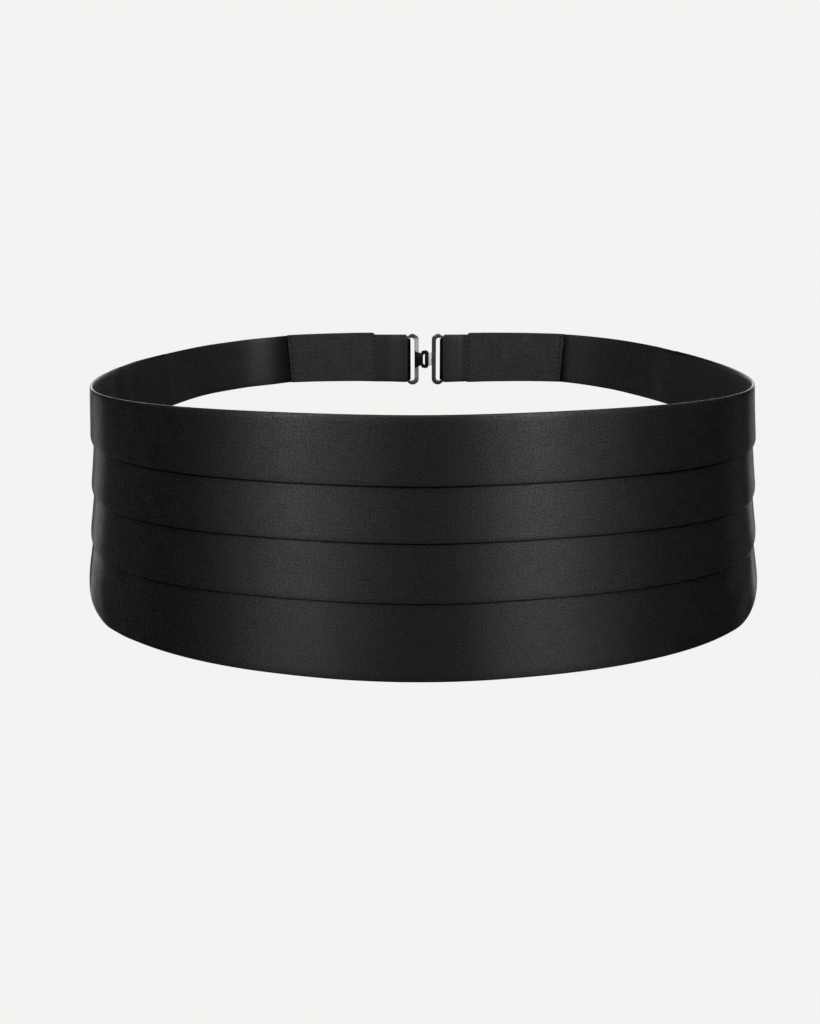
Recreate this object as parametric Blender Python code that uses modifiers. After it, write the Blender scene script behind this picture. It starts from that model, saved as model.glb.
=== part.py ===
"""A cummerbund closed as it is worn: a four-band pleated front on a plain backing, two
back straps with facing tabs, and a hook clasp of two flat rings.

Sizes are in millimetres and MM turns them into metres. Every cloth piece is placed by
three measures: how far it lies round the waist line from the front centre ("along",
positive towards +X), how far it stands out of the waist line ("out", positive away from
the loop's inside), and how far it hangs below the top edge ("depth"). The front faces -Y
and +Z is up. The origin is the middle of the loop, level with the middle of the straps.
"""

import math
from typing import NamedTuple

import bmesh
import bpy
import numpy as np

MM = 0.001
COLLECTION = "Cummerbund"
HELPERS = "Cummerbund helpers"

# Cloth: one wall, and the room that two layers keep between them.
CLOTH_WALL = 1.0
LAYER_GAP = 0.3
LAYER_PITCH = CLOTH_WALL + LAYER_GAP
TOP_EDGE_Z = 16.0

# How far a flat facet may cut inside the waist line's curve.
FACET_SAG = 0.2
SHORTEST_FACET = 1.0
LONGEST_FACET = 14.0
WAIST_SAMPLES = 2880

# Front panel: its ends, where its bottom edge starts to climb to the straps, and how it
# stands away from the hips, in full at the sides and by half at the front centre.
PANEL_HALF = 281.0
TAPER_START = 165.0
LIFT_REACH = 150.0
FLARE_SLOPE = 0.055
FLARE_CURVE = 0.0005
FRONT_FLARE_SHARE = 0.5
PLEAT_DRAW_IN = 0.8
DRAW_IN_REACH = 60.0
UNDERLAP_SHARE = 0.36
TURN_CLEARANCE = 1.5
LEAN_CLEARANCE = 1.0
TURN_SIDES = 3
BACKING_SHORTER = 1.0

# Where the return of each strap and the rings lie, from the waist line.
RETURN_OUT = -LAYER_PITCH
RING_OUT = -LAYER_PITCH
RING_TURN_RADIUS = 1.4
RING_TURN_SIDES = 6
SPREAD_LENGTH = 9.0
SPREAD_STEPS = 4
GATHER_LENGTH = 2.2

# Clasp: X positions of its edges at the middle of the back, and its flat sizes.
CLASP_DEPTH = 16.9
RING_HEIGHT = 34.0
RING_WIDTH = 8.2
CLOTH_BAR = 1.4
HOOK_BAR = 2.8
SLOT_RADIUS = (RING_WIDTH - CLOTH_BAR - HOOK_BAR) / 2
RING_PLATE = 1.0
LEFT_RING_X = -8.5
RIGHT_RING_X = 8.3
TONGUE_PLATE = 1.2
TONGUE_ROOT_HEIGHT = 11.3
TONGUE_TIP_HEIGHT = 7.6
EYE_X = 1.3
EYE_WIDTH = 4.9
EYE_HEIGHT = 11.9
EYE_OPENING_X = 2.6
EYE_OPENING_WIDTH = 2.4
EYE_OPENING_HEIGHT = 6.9
EYE_PLATE = 1.1
HOOK_PLATE = 0.7
HOOK_ROOT_HEIGHT = 8.7
HOOK_TIP_HEIGHT = 5.4
HOOK_CLEARANCE = 0.3
HOOK_TIP_RUN = 0.7
HOOK_JOGGLE = 1.2
ROUND_END_SIDES = 10


class Wave(NamedTuple):
    """One turn of the waist line: how far it reaches across (X) and through (Y)."""

    turns: int
    across: float
    through: float


class Fold(NamedTuple):
    """A pleat's folded edge, or the bottom edge: its depths and its lift to each side."""

    depth: float
    left_lift: float
    right_lift: float
    end_depth: float


class StrapSection(NamedTuple):
    """The top and bottom edges of both straps at one place round the waist."""

    along: float
    left_top: float
    left_bottom: float
    right_top: float
    right_bottom: float


class Tab(NamedTuple):
    """A facing tab: its ends, measured from the back centre, and its edges' depths."""

    inner_end: float
    outer_end_top: float
    outer_end_bottom: float
    inner_top: float
    outer_top: float
    inner_bottom: float
    outer_bottom: float


WAIST_LINE = (
    Wave(turns=1, across=153.6, through=118.5),
    Wave(turns=2, across=27.4, through=10.2),
    Wave(turns=3, across=-13.7, through=-13.1),
    Wave(turns=4, across=-1.9, through=-0.4),
    Wave(turns=5, across=-5.4, through=1.4),
)

FOLDS = (
    Fold(depth=33.7, left_lift=2.5, right_lift=1.2, end_depth=8.6),
    Fold(depth=61.7, left_lift=2.0, right_lift=0.6, end_depth=16.8),
    Fold(depth=92.1, left_lift=2.5, right_lift=2.0, end_depth=24.9),
)
BOTTOM_EDGE = Fold(depth=133.1, left_lift=7.4, right_lift=6.0, end_depth=33.0)

STRAP_SECTIONS = (
    StrapSection(along=281, left_top=0.4, left_bottom=32.6, right_top=0.0, right_bottom=33.0),
    StrapSection(along=300, left_top=0.6, left_bottom=31.9, right_top=-0.2, right_bottom=32.8),
    StrapSection(along=332, left_top=0.6, left_bottom=31.5, right_top=-0.5, right_bottom=31.7),
    StrapSection(along=360, left_top=-0.1, left_bottom=30.9, right_top=-0.7, right_bottom=30.8),
    StrapSection(along=392, left_top=0.2, left_bottom=31.1, right_top=0.2, right_bottom=31.2),
    StrapSection(along=425, left_top=0.5, left_bottom=31.6, right_top=0.7, right_bottom=31.9),
    StrapSection(along=457, left_top=0.8, left_bottom=32.0, right_top=1.0, right_bottom=32.2),
)

LEFT_TAB = Tab(
    inner_end=29.2,
    outer_end_top=86.6,
    outer_end_bottom=84.9,
    inner_top=-1.1,
    outer_top=-0.8,
    inner_bottom=31.4,
    outer_bottom=30.6,
)
RIGHT_TAB = Tab(
    inner_end=31.8,
    outer_end_top=95.0,
    outer_end_bottom=93.5,
    inner_top=-0.7,
    outer_top=-1.2,
    inner_bottom=32.2,
    outer_bottom=30.4,
)
TAB_CORNER = 2.0
TAB_CORNER_STATIONS = 3


def smoothstep(value):
    """An even climb from 0 to 1 while value runs from 0 to 1."""
    share = min(max(value, 0.0), 1.0)
    return share * share * (3.0 - 2.0 * share)


def smooth_between(rows, column, along):
    """A column of a table read at `along` on a curve with no corners at its rows."""
    places = np.array([row.along for row in rows], float)
    values = np.array([getattr(row, column) for row in rows], float)
    slopes = np.gradient(values, places)
    left = int(np.clip(np.searchsorted(places, along) - 1, 0, len(rows) - 2))
    span = places[left + 1] - places[left]
    share = min(max((along - places[left]) / span, 0.0), 1.0)
    cubic, square = share**3, share**2
    return (
        (2 * cubic - 3 * square + 1) * values[left]
        + (cubic - 2 * square + share) * span * slopes[left]
        + (3 * square - 2 * cubic) * values[left + 1]
        + (cubic - square) * span * slopes[left + 1]
    )


class Waist:
    """The waist line seen from above, measured round from the front centre."""

    def __init__(self, waves, samples):
        angle = np.linspace(0.0, 2 * math.pi, samples + 1)
        self.x = sum(wave.across * np.sin(wave.turns * angle) for wave in waves)
        self.y = -sum(wave.through * np.cos(wave.turns * angle) for wave in waves)
        self.y -= (self.y.max() + self.y.min()) / 2
        steps = np.hypot(np.diff(self.x), np.diff(self.y))
        self.along = np.concatenate([[0.0], np.cumsum(steps)])
        self.length = self.along[-1]
        self.half = self.length / 2
        slope_x = np.gradient(self.x, self.along)
        slope_y = np.gradient(self.y, self.along)
        self.out_x, self.out_y = slope_y, -slope_x
        bend = np.hypot(np.gradient(slope_x, self.along), np.gradient(slope_y, self.along))
        facets_here = np.maximum(np.sqrt(bend / (8 * FACET_SAG)), 1 / LONGEST_FACET)
        self.facets = np.concatenate([[0.0], np.cumsum(steps * facets_here[1:])])

    def point(self, along, out, depth):
        """The place in space, in metres."""
        place = along % self.length
        x = np.interp(place, self.along, self.x) + out * np.interp(place, self.along, self.out_x)
        y = np.interp(place, self.along, self.y) + out * np.interp(place, self.along, self.out_y)
        return (x * MM, y * MM, (TOP_EDGE_Z - depth) * MM)

    def sideways(self, along):
        """How far the cloth here faces to the side: 0 at the front centre, 1 at the side."""
        return abs(float(np.interp(along % self.length, self.along, self.out_x)))

    def stations(self, start, end):
        """Places from start to end, shared by all pieces, closer where the line bends more."""
        count = int(math.ceil(self.facets[-1]))
        marks = np.linspace(0.0, self.facets[-1], count, endpoint=False)
        places = np.interp(marks, self.facets, self.along)
        places = np.sort(np.concatenate([places - self.length, places]))
        inside = (places > start + SHORTEST_FACET) & (places < end - SHORTEST_FACET)
        return [start, *places[inside], end]


WAIST = Waist(WAIST_LINE, WAIST_SAMPLES)


def new_material(name, colour, roughness, metallic):
    """A plain surface in the piece's own colour."""
    material = bpy.data.materials.new(name)
    material.use_nodes = True
    surface = material.node_tree.nodes["Principled BSDF"]
    surface.inputs["Base Color"].default_value = (*colour, 1.0)
    surface.inputs["Roughness"].default_value = roughness
    surface.inputs["Metallic"].default_value = metallic
    return material


def satin(name):
    return new_material(name, (0.012, 0.012, 0.013), 0.38, 0.0)


def lining_cloth(name):
    return new_material(name, (0.010, 0.010, 0.011), 0.55, 0.0)


def facing_cloth(name):
    return new_material(name, (0.026, 0.025, 0.024), 0.8, 0.0)


def dark_metal(name):
    return new_material(name, (0.14, 0.13, 0.13), 0.28, 1.0)


def new_object(name, mesh, material, collection):
    """An object that shows the mesh in the given material."""
    piece = bpy.data.objects.new(name, mesh)
    piece.data.materials.append(material)
    collection.objects.link(piece)
    return piece


def loft(name, rows, thickness, material, collection):
    """A wall of cloth or plate over a net of points: one row of points for each station."""
    mesh = bpy.data.meshes.new(name)
    net = bmesh.new()
    grid = [[net.verts.new(point) for point in row] for row in rows]
    for near, far in zip(grid[:-1], grid[1:]):
        for index in range(len(near) - 1):
            net.faces.new((near[index], near[index + 1], far[index + 1], far[index]))
    bmesh.ops.recalc_face_normals(net, faces=net.faces[:])
    net.to_mesh(mesh)
    net.free()
    mesh.shade_smooth()
    piece = new_object(name, mesh, material, collection)
    wall = piece.modifiers.new("wall", "SOLIDIFY")
    wall.thickness = thickness * MM
    wall.offset = 0.0
    wall.use_even_offset = True
    wall.use_quality_normals = True
    return piece


def fold_depth(fold, along):
    """How deep a fold or the bottom edge lies here, as it climbs to the strap."""
    lift = fold.right_lift if along > 0 else fold.left_lift
    open_depth = fold.depth - lift * (min(abs(along), PANEL_HALF) / LIFT_REACH) ** 3
    closing = smoothstep((abs(along) - TAPER_START) / (PANEL_HALF - TAPER_START))
    return open_depth + (fold.end_depth - open_depth) * closing


def panel_out(along, depth):
    """How far the panel's backing stands out of the waist line at this depth."""
    flare = FLARE_SLOPE * depth + FLARE_CURVE * depth * depth
    share = FRONT_FLARE_SHARE + (1 - FRONT_FLARE_SHARE) * WAIST.sideways(along) ** 2
    return flare * share - PLEAT_DRAW_IN * smoothstep(depth / DRAW_IN_REACH)


def turn(low_layer, high_layer, depth, downwards):
    """Half a circle of (layer out, depth) from one layer to the next at a fold."""
    middle = (low_layer + high_layer) / 2 * LAYER_PITCH
    reach = (low_layer - high_layer) / 2 * LAYER_PITCH
    radius = abs(reach) if downwards else -abs(reach)
    angles = [math.pi * step / TURN_SIDES for step in range(TURN_SIDES + 1)]
    return [(middle + reach * math.cos(angle), depth + radius * math.sin(angle)) for angle in angles]


def pleat_section(along):
    """The front's cloth at one station, from the top edge down, in and out of each pleat."""
    depths = [fold_depth(fold, along) for fold in FOLDS]
    half_turn = LAYER_PITCH / 2
    section = [(0.0, 0.0)]
    band_top = 0.0
    for depth in depths:
        lap_start = depth - UNDERLAP_SHARE * (depth - band_top)
        section.append((0.0, band_top + LEAN_CLEARANCE))
        section.append((2 * LAYER_PITCH, lap_start - TURN_CLEARANCE))
        section += turn(2, 1, depth - half_turn, downwards=True)
        section += turn(1, 0, lap_start + half_turn, downwards=False)
        band_top = depth
    section.append((0.0, band_top + LEAN_CLEARANCE))
    section.append((0.0, fold_depth(BOTTOM_EDGE, along)))
    return [(LAYER_PITCH + layer_out, depth) for layer_out, depth in section]


def make_pleated_front(collection):
    """One continuous cloth: four bands, each lapping over the next."""
    rows = []
    for along in WAIST.stations(-PANEL_HALF, PANEL_HALF):
        section = pleat_section(along)
        rows.append([WAIST.point(along, out + panel_out(along, depth), depth) for out, depth in section])
    return loft("pleated_front", rows, CLOTH_WALL, satin("front satin"), collection)


def make_backing(collection):
    """The plain cloth behind the pleats, from the top edge to the bottom edge."""
    rows = []
    for along in WAIST.stations(-PANEL_HALF, PANEL_HALF):
        bottom = fold_depth(BOTTOM_EDGE, along) - BACKING_SHORTER
        depths = [depth for out, depth in pleat_section(along) if out == LAYER_PITCH]
        depths = [*depths[:-1], bottom]
        rows.append([WAIST.point(along, panel_out(along, depth), depth) for depth in depths])
    return loft("front_backing", rows, CLOTH_WALL, lining_cloth("backing twill"), collection)


def strap_edges(side, along):
    """The top and bottom depths of a strap, by its distance round from the front centre."""
    name = "right" if side > 0 else "left"
    top = smooth_between(STRAP_SECTIONS, f"{name}_top", along)
    bottom = smooth_between(STRAP_SECTIONS, f"{name}_bottom", along)
    return top, bottom


def strap_route(tab, fold_from_back):
    """(distance from the back centre, out) of a strap: up to its ring, round the bar, back."""
    spread_end = fold_from_back + SPREAD_LENGTH
    near_out = RING_OUT + RING_TURN_RADIUS
    far_out = RING_OUT - RING_TURN_RADIUS
    tab_end = WAIST.half - tab.outer_end_top
    places = WAIST.stations(PANEL_HALF + LAYER_GAP, tab_end)[:-1]
    places += WAIST.stations(tab_end, WAIST.half - spread_end)
    route = [(WAIST.half - place, 0.0) for place in places]
    spread = [step / SPREAD_STEPS for step in range(1, SPREAD_STEPS + 1)]
    for share in spread:
        route.append((spread_end - SPREAD_LENGTH * share, near_out * smoothstep(share)))
    for step in range(1, RING_TURN_SIDES):
        angle = math.pi * step / RING_TURN_SIDES
        route.append(
            (
                fold_from_back - RING_TURN_RADIUS * math.sin(angle),
                RING_OUT + RING_TURN_RADIUS * math.cos(angle),
            )
        )
    for share in [0.0, *spread]:
        shift = (RETURN_OUT - far_out) * smoothstep(share)
        route.append((fold_from_back + SPREAD_LENGTH * share, far_out + shift))
    route.append((tab.inner_end - LAYER_GAP, RETURN_OUT))
    return route


def make_strap(name, side, tab, ring_x, collection):
    """One ribbon from the panel's end, through the ring and back to the tab."""
    bar_edge = -ring_x - CLOTH_BAR if side < 0 else ring_x + RING_WIDTH - CLOTH_BAR
    fold_from_back = bar_edge + RING_PLATE / 3
    slot_half = RING_HEIGHT / 2 - HOOK_BAR - SLOT_RADIUS
    rows = []
    for from_back, out in strap_route(tab, fold_from_back):
        along = WAIST.half - from_back
        top, bottom = strap_edges(side, along)
        gather = smoothstep((fold_from_back + GATHER_LENGTH - from_back) / GATHER_LENGTH)
        top += (CLASP_DEPTH - slot_half - top) * gather
        bottom += (CLASP_DEPTH + slot_half - bottom) * gather
        rows.append([WAIST.point(side * along, out, depth) for depth in (top, bottom)])
    return loft(name, rows, CLOTH_WALL, satin(f"{name} satin"), collection)


def make_tab(name, side, tab, collection):
    """The facing sewn over the strap's end, on the inside of the loop."""
    corner_end = WAIST.half - tab.inner_end - TAB_CORNER
    places = WAIST.stations(WAIST.half - tab.outer_end_top, corner_end)
    corner = [TAB_CORNER * step / TAB_CORNER_STATIONS for step in range(1, TAB_CORNER_STATIONS + 1)]
    places += [corner_end + beyond for beyond in corner]
    rows = []
    for place in places:
        from_back = WAIST.half - place
        share = (from_back - tab.inner_end) / (tab.outer_end_top - tab.inner_end)
        top = tab.inner_top + (tab.outer_top - tab.inner_top) * share
        bottom = tab.inner_bottom + (tab.outer_bottom - tab.inner_bottom) * share
        into_corner = max(place - corner_end, 0.0)
        top += TAB_CORNER - math.sqrt(max(TAB_CORNER**2 - into_corner**2, 0.0))
        bottom_place = WAIST.half - min(from_back, tab.outer_end_bottom)
        rows.append(
            [
                WAIST.point(side * place, RETURN_OUT, top),
                WAIST.point(side * bottom_place, RETURN_OUT, bottom),
            ]
        )
    return loft(name, rows, CLOTH_WALL, facing_cloth(f"{name} facing"), collection)


def stadium(left, width, height):
    """The outline of a slot with round ends, as (x, z) about the clasp's middle height."""
    radius = width / 2
    outline = []
    for end in (1, -1):
        for step in range(ROUND_END_SIDES + 1):
            angle = math.pi * step / ROUND_END_SIDES
            x = left + radius + end * radius * math.cos(angle)
            outline.append((x, end * (height / 2 - radius + radius * math.sin(angle))))
    return outline


def plate(name, outlines, thickness, material, collection):
    """A flat plate standing across the back, its second outline cut out of the first."""
    drawing = bpy.data.curves.new(name, "CURVE")
    drawing.dimensions = "2D"
    drawing.fill_mode = "BOTH"
    drawing.extrude = thickness / 2 * MM
    for outline in outlines:
        spline = drawing.splines.new("POLY")
        spline.points.add(len(outline) - 1)
        for point, (x, z) in zip(spline.points, outline):
            point.co = (x * MM, z * MM, 0.0, 1.0)
        spline.use_cyclic_u = True
    guide = bpy.data.objects.new(name, drawing)
    bpy.context.scene.collection.objects.link(guide)
    bpy.context.view_layer.update()
    graph = bpy.context.evaluated_depsgraph_get()
    mesh = bpy.data.meshes.new_from_object(guide.evaluated_get(graph))
    bpy.data.objects.remove(guide)
    net = bmesh.new()
    net.from_mesh(mesh)
    bmesh.ops.remove_doubles(net, verts=net.verts[:], dist=1e-6)
    bmesh.ops.recalc_face_normals(net, faces=net.faces[:])
    net.to_mesh(mesh)
    net.free()
    piece = new_object(name, mesh, material, collection)
    piece.rotation_euler = (math.pi / 2, 0.0, 0.0)
    piece.location = WAIST.point(WAIST.half, RING_OUT, CLASP_DEPTH)
    return piece


def join_to(piece, others):
    """One solid of the piece and the others, which become hidden helpers."""
    for other in others:
        other.hide_render = True
        other.display_type = "WIRE"
        union = piece.modifiers.new(other.name, "BOOLEAN")
        union.operation = "UNION"
        union.object = other


def ring(name, left, opening_left, material, collection):
    """A flat ring with round ends: a narrow bar in the strap and a wide bar beside it."""
    outlines = (
        stadium(left, RING_WIDTH, RING_HEIGHT),
        stadium(opening_left, 2 * SLOT_RADIUS, RING_HEIGHT - 2 * HOOK_BAR),
    )
    return plate(name, outlines, RING_PLATE, material, collection)


def make_eye_ring(collection, helpers):
    """The left ring, with a tongue that carries the eye."""
    metal = dark_metal("left clasp metal")
    opening_left = LEFT_RING_X + CLOTH_BAR
    body = ring("clasp_ring_left", LEFT_RING_X, opening_left, metal, collection)
    root = LEFT_RING_X + RING_WIDTH - HOOK_BAR * 0.75
    tip = EYE_X + (EYE_OPENING_X - EYE_X) / 2
    high, low = TONGUE_ROOT_HEIGHT / 2, TONGUE_TIP_HEIGHT / 2
    tongue_outline = ((root, -high), (tip, -low), (tip, low), (root, high))
    tongue = plate("tongue", (tongue_outline,), TONGUE_PLATE, metal, helpers)
    eye_outlines = (
        stadium(EYE_X, EYE_WIDTH, EYE_HEIGHT),
        stadium(EYE_OPENING_X, EYE_OPENING_WIDTH, EYE_OPENING_HEIGHT),
    )
    eye = plate("eye", eye_outlines, EYE_PLATE, metal, helpers)
    join_to(body, (tongue, eye))
    return body


def hook_section():
    """(x, out from the rings' plane, height) along the middle of the hook's plate."""
    run = EYE_PLATE / 2 + HOOK_CLEARANCE + HOOK_PLATE / 2
    root = RIGHT_RING_X + HOOK_BAR / 2
    through = EYE_OPENING_X + EYE_OPENING_WIDTH - HOOK_CLEARANCE - HOOK_PLATE / 2
    corner = HOOK_PLATE / 2
    slant = corner * (1 - math.sqrt(0.5))
    return (
        (root, RING_PLATE / 4, HOOK_ROOT_HEIGHT),
        (root - HOOK_JOGGLE, run, HOOK_ROOT_HEIGHT),
        (EYE_X + EYE_WIDTH, run, HOOK_ROOT_HEIGHT),
        (through + corner, run, HOOK_TIP_HEIGHT),
        (through + slant, run - slant, HOOK_TIP_HEIGHT),
        (through, run - corner, HOOK_TIP_HEIGHT),
        (through, corner - run, HOOK_TIP_HEIGHT),
        (through + slant, slant - run, HOOK_TIP_HEIGHT),
        (through + corner, -run, HOOK_TIP_HEIGHT),
        (through + corner + HOOK_TIP_RUN, -run, HOOK_TIP_HEIGHT),
    )


def make_hook_ring(collection, helpers):
    """The right ring, with the hook that passes behind the eye's bar and round it."""
    metal = dark_metal("right clasp metal")
    opening_left = RIGHT_RING_X + HOOK_BAR
    body = ring("clasp_ring_right", RIGHT_RING_X, opening_left, metal, collection)
    centre_x, centre_y, centre_z = WAIST.point(WAIST.half, RING_OUT, CLASP_DEPTH)
    rows = []
    for x, out, height in hook_section():
        ends = (height / 2, -height / 2)
        rows.append([(centre_x + x * MM, centre_y + out * MM, centre_z + z * MM) for z in ends])
    hook = loft("hook", rows, HOOK_PLATE, metal, helpers)
    join_to(body, (hook,))
    return body


def main():
    """Clears the scene and makes each piece of the cummerbund."""
    for item in list(bpy.data.objects):
        bpy.data.objects.remove(item)
    collection = bpy.data.collections.new(COLLECTION)
    helpers = bpy.data.collections.new(HELPERS)
    bpy.context.scene.collection.children.link(collection)
    bpy.context.scene.collection.children.link(helpers)
    make_pleated_front(collection)
    make_backing(collection)
    make_strap("strap_left", -1, LEFT_TAB, LEFT_RING_X, collection)
    make_strap("strap_right", 1, RIGHT_TAB, RIGHT_RING_X, collection)
    make_tab("end_tab_left", -1, LEFT_TAB, collection)
    make_tab("end_tab_right", 1, RIGHT_TAB, collection)
    make_eye_ring(collection, helpers)
    make_hook_ring(collection, helpers)


main()
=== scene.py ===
"""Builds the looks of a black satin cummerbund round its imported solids.

The waist is one closed line seen from above. Each cloth piece is placed by how far it lies
round that line from the front centre ("along", positive towards +X), how far it stands out
of the line ("out", positive away from the inside of the loop) and how far it hangs below
the top edge ("depth"). All three are in millimetres, and MM turns them into metres. The
front faces -Y, and +Z is up.
"""

from __future__ import annotations

import logging
import math
from contextlib import contextmanager
from dataclasses import dataclass, field, replace
from enum import Enum
from typing import Any, Callable, Iterator, NamedTuple, Sequence

import bpy
import numpy as np
from bpy.types import Material, Node, NodeSocket, Object
from mathutils import Euler, Matrix, Vector
from numpy.typing import NDArray

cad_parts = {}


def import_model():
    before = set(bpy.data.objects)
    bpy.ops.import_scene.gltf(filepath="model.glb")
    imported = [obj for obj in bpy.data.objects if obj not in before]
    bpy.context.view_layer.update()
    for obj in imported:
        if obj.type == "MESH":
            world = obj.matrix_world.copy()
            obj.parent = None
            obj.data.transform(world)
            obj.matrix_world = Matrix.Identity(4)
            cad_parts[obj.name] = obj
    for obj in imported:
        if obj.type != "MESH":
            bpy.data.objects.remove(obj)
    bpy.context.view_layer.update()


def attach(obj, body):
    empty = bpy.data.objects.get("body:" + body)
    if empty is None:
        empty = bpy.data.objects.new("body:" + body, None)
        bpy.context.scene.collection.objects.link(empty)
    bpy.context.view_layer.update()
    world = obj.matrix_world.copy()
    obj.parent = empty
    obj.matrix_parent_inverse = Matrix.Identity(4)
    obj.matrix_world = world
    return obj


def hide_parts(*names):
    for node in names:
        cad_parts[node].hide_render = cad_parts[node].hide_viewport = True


Floats = NDArray[np.float64]
Colour = tuple[float, float, float]
Route = list[tuple[float, float, float]]

MM = 0.001
BODY = "root"
WEAVE_MAP = "weave"
# The point attribute that says how much shade is painted on a cloth, from 0 to 1.
PAINTED_SHADE_MAP = "painted_shade"
SEAM_MERGE = 1e-6
SMOOTH_ANGLE = math.radians(40.0)
UPRIGHT = (math.pi / 2, 0.0, 0.0)
WAVE_RADIANS = 20.0  # how far Blender's wave texture turns over one unit at a scale of 1

log = logging.getLogger("cummerbund")


class Slot(Enum):
    """The record's material slots."""

    SATIN = "satin"
    BACKING = "backing"
    FACING = "facing"
    METAL = "clasp_metal"


class Side(Enum):
    """The two ends of the loop, by the sign of their X."""

    LEFT = -1
    RIGHT = 1

    @property
    def word(self) -> str:
        """The side's name in small letters."""
        return self.name.lower()


class Weave(Enum):
    """How a cloth's threads lie."""

    SATIN = "satin"
    TWILL = "twill"
    PLAIN = "plain"


class Held(Enum):
    """How a sheet of cloth is held."""

    FOLDED = "folded"
    STRETCHED = "stretched"
    LAID = "laid"


# ------------------------------------------------------------------ Blender, as by hand


def deselect() -> None:
    """Leaves nothing selected."""
    bpy.ops.object.select_all(action="DESELECT")


def take_up(*pieces: Object) -> None:
    """Selects only these pieces.

    Args:
        pieces: What to select. The first becomes the active one.
    """
    deselect()
    for piece in pieces:
        piece.select_set(True)
    bpy.context.view_layer.objects.active = pieces[0]


@contextmanager
def editing(piece: Object, pick: Callable[[Vector], bool] | None = None) -> Iterator[None]:
    """Edit mode on one piece.

    Args:
        piece: The piece to edit.
        pick: Says by its place whether a vertex is selected. None selects all of them.

    Returns:
        A context in which mesh operators act on the selected vertices.
    """
    take_up(piece)
    chosen = [pick is None or pick(vertex.co) for vertex in piece.data.vertices]
    bpy.ops.object.mode_set(mode="EDIT")
    bpy.ops.mesh.select_mode(type="VERT")
    bpy.ops.mesh.select_all(action="SELECT" if pick is None else "DESELECT")
    if pick is not None:
        bpy.ops.object.mode_set(mode="OBJECT")
        piece.data.vertices.foreach_set("select", chosen)
        bpy.ops.object.mode_set(mode="EDIT")
    yield
    bpy.ops.object.mode_set(mode="OBJECT")


def settle(piece: Object) -> None:
    """Puts the piece's place, turn and scale into its mesh."""
    take_up(piece)
    bpy.ops.object.transform_apply(location=True, rotation=True, scale=True)


def finish_with(piece: Object, kind: str, **settings: Any) -> None:
    """Adds a modifier and applies it.

    Args:
        piece: The piece that the modifier changes.
        kind: Blender's name for the modifier's type.
        settings: The modifier's own settings.
    """
    modifier = piece.modifiers.new(kind.lower(), kind)
    for name, value in settings.items():
        setattr(modifier, name, value)
    take_up(piece)
    bpy.ops.object.modifier_apply(modifier=modifier.name)


def face_outwards(piece: Object) -> None:
    """Turns all of the piece's faces outwards."""
    with editing(piece):
        bpy.ops.mesh.normals_make_consistent(inside=False)


def close_seams(piece: Object) -> None:
    """Merges points that lie on each other and turns the faces outwards.

    Args:
        piece: The piece to close.
    """
    with editing(piece):
        bpy.ops.mesh.remove_doubles(threshold=SEAM_MERGE)
        bpy.ops.mesh.normals_make_consistent(inside=False)


def shade(piece: Object) -> None:
    """Shades the piece smooth, apart from its sharp edges."""
    take_up(piece)
    bpy.ops.object.shade_smooth_by_angle(angle=SMOOTH_ANGLE)


def added(name: str, operator: Callable[..., Any], **settings: Any) -> Object:
    """Adds one of Blender's own meshes.

    Args:
        name: The new piece's name.
        operator: The operator that adds it.
        settings: The operator's own settings.

    Returns:
        The new piece.
    """
    deselect()
    operator(**settings)
    piece = bpy.context.object
    piece.name = piece.data.name = name
    return piece


def joined(name: str, pieces: Sequence[Object]) -> Object:
    """One object made of several.

    Args:
        name: The new name.
        pieces: The objects to join. They share no mesh.

    Returns:
        The joined object.
    """
    take_up(*pieces)
    if len(pieces) > 1:
        bpy.ops.object.join()
    piece = bpy.context.view_layer.objects.active
    piece.name = piece.data.name = name
    return piece


def lay_cloth(name: str, places: Floats, flat: Floats) -> Object:
    """A net of quads laid through the given places, with its flat cut as the weave map.

    Args:
        name: The piece's name.
        places: Points in metres, shaped (rows, columns, 3).
        flat: Where each point lies on the flat cut, in metres, shaped (rows, columns, 2).

    Returns:
        The piece, with its place in its mesh.
    """
    rows, columns = (count - 1 for count in places.shape[:2])
    net = {"x_subdivisions": columns, "y_subdivisions": rows, "size": 1.0}
    piece = added(name, bpy.ops.mesh.primitive_grid_add, **net)
    mesh = piece.data
    mesh.vertices.foreach_set("co", places.astype(np.float32).ravel())
    corners = np.empty(len(mesh.loops), np.int32)
    mesh.loops.foreach_get("vertex_index", corners)
    weave = mesh.uv_layers[0]
    weave.name = WEAVE_MAP
    weave.data.foreach_set("uv", flat.reshape(-1, 2)[corners].astype(np.float32).ravel())
    mesh.update()
    return piece


def smoothstep(value: Floats | float) -> Floats:
    """An even climb from 0 to 1 while the value runs from 0 to 1."""
    share = np.clip(value, 0.0, 1.0)
    return share * share * (3.0 - 2.0 * share)


# ------------------------------------------------------------------------------ finishes


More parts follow.
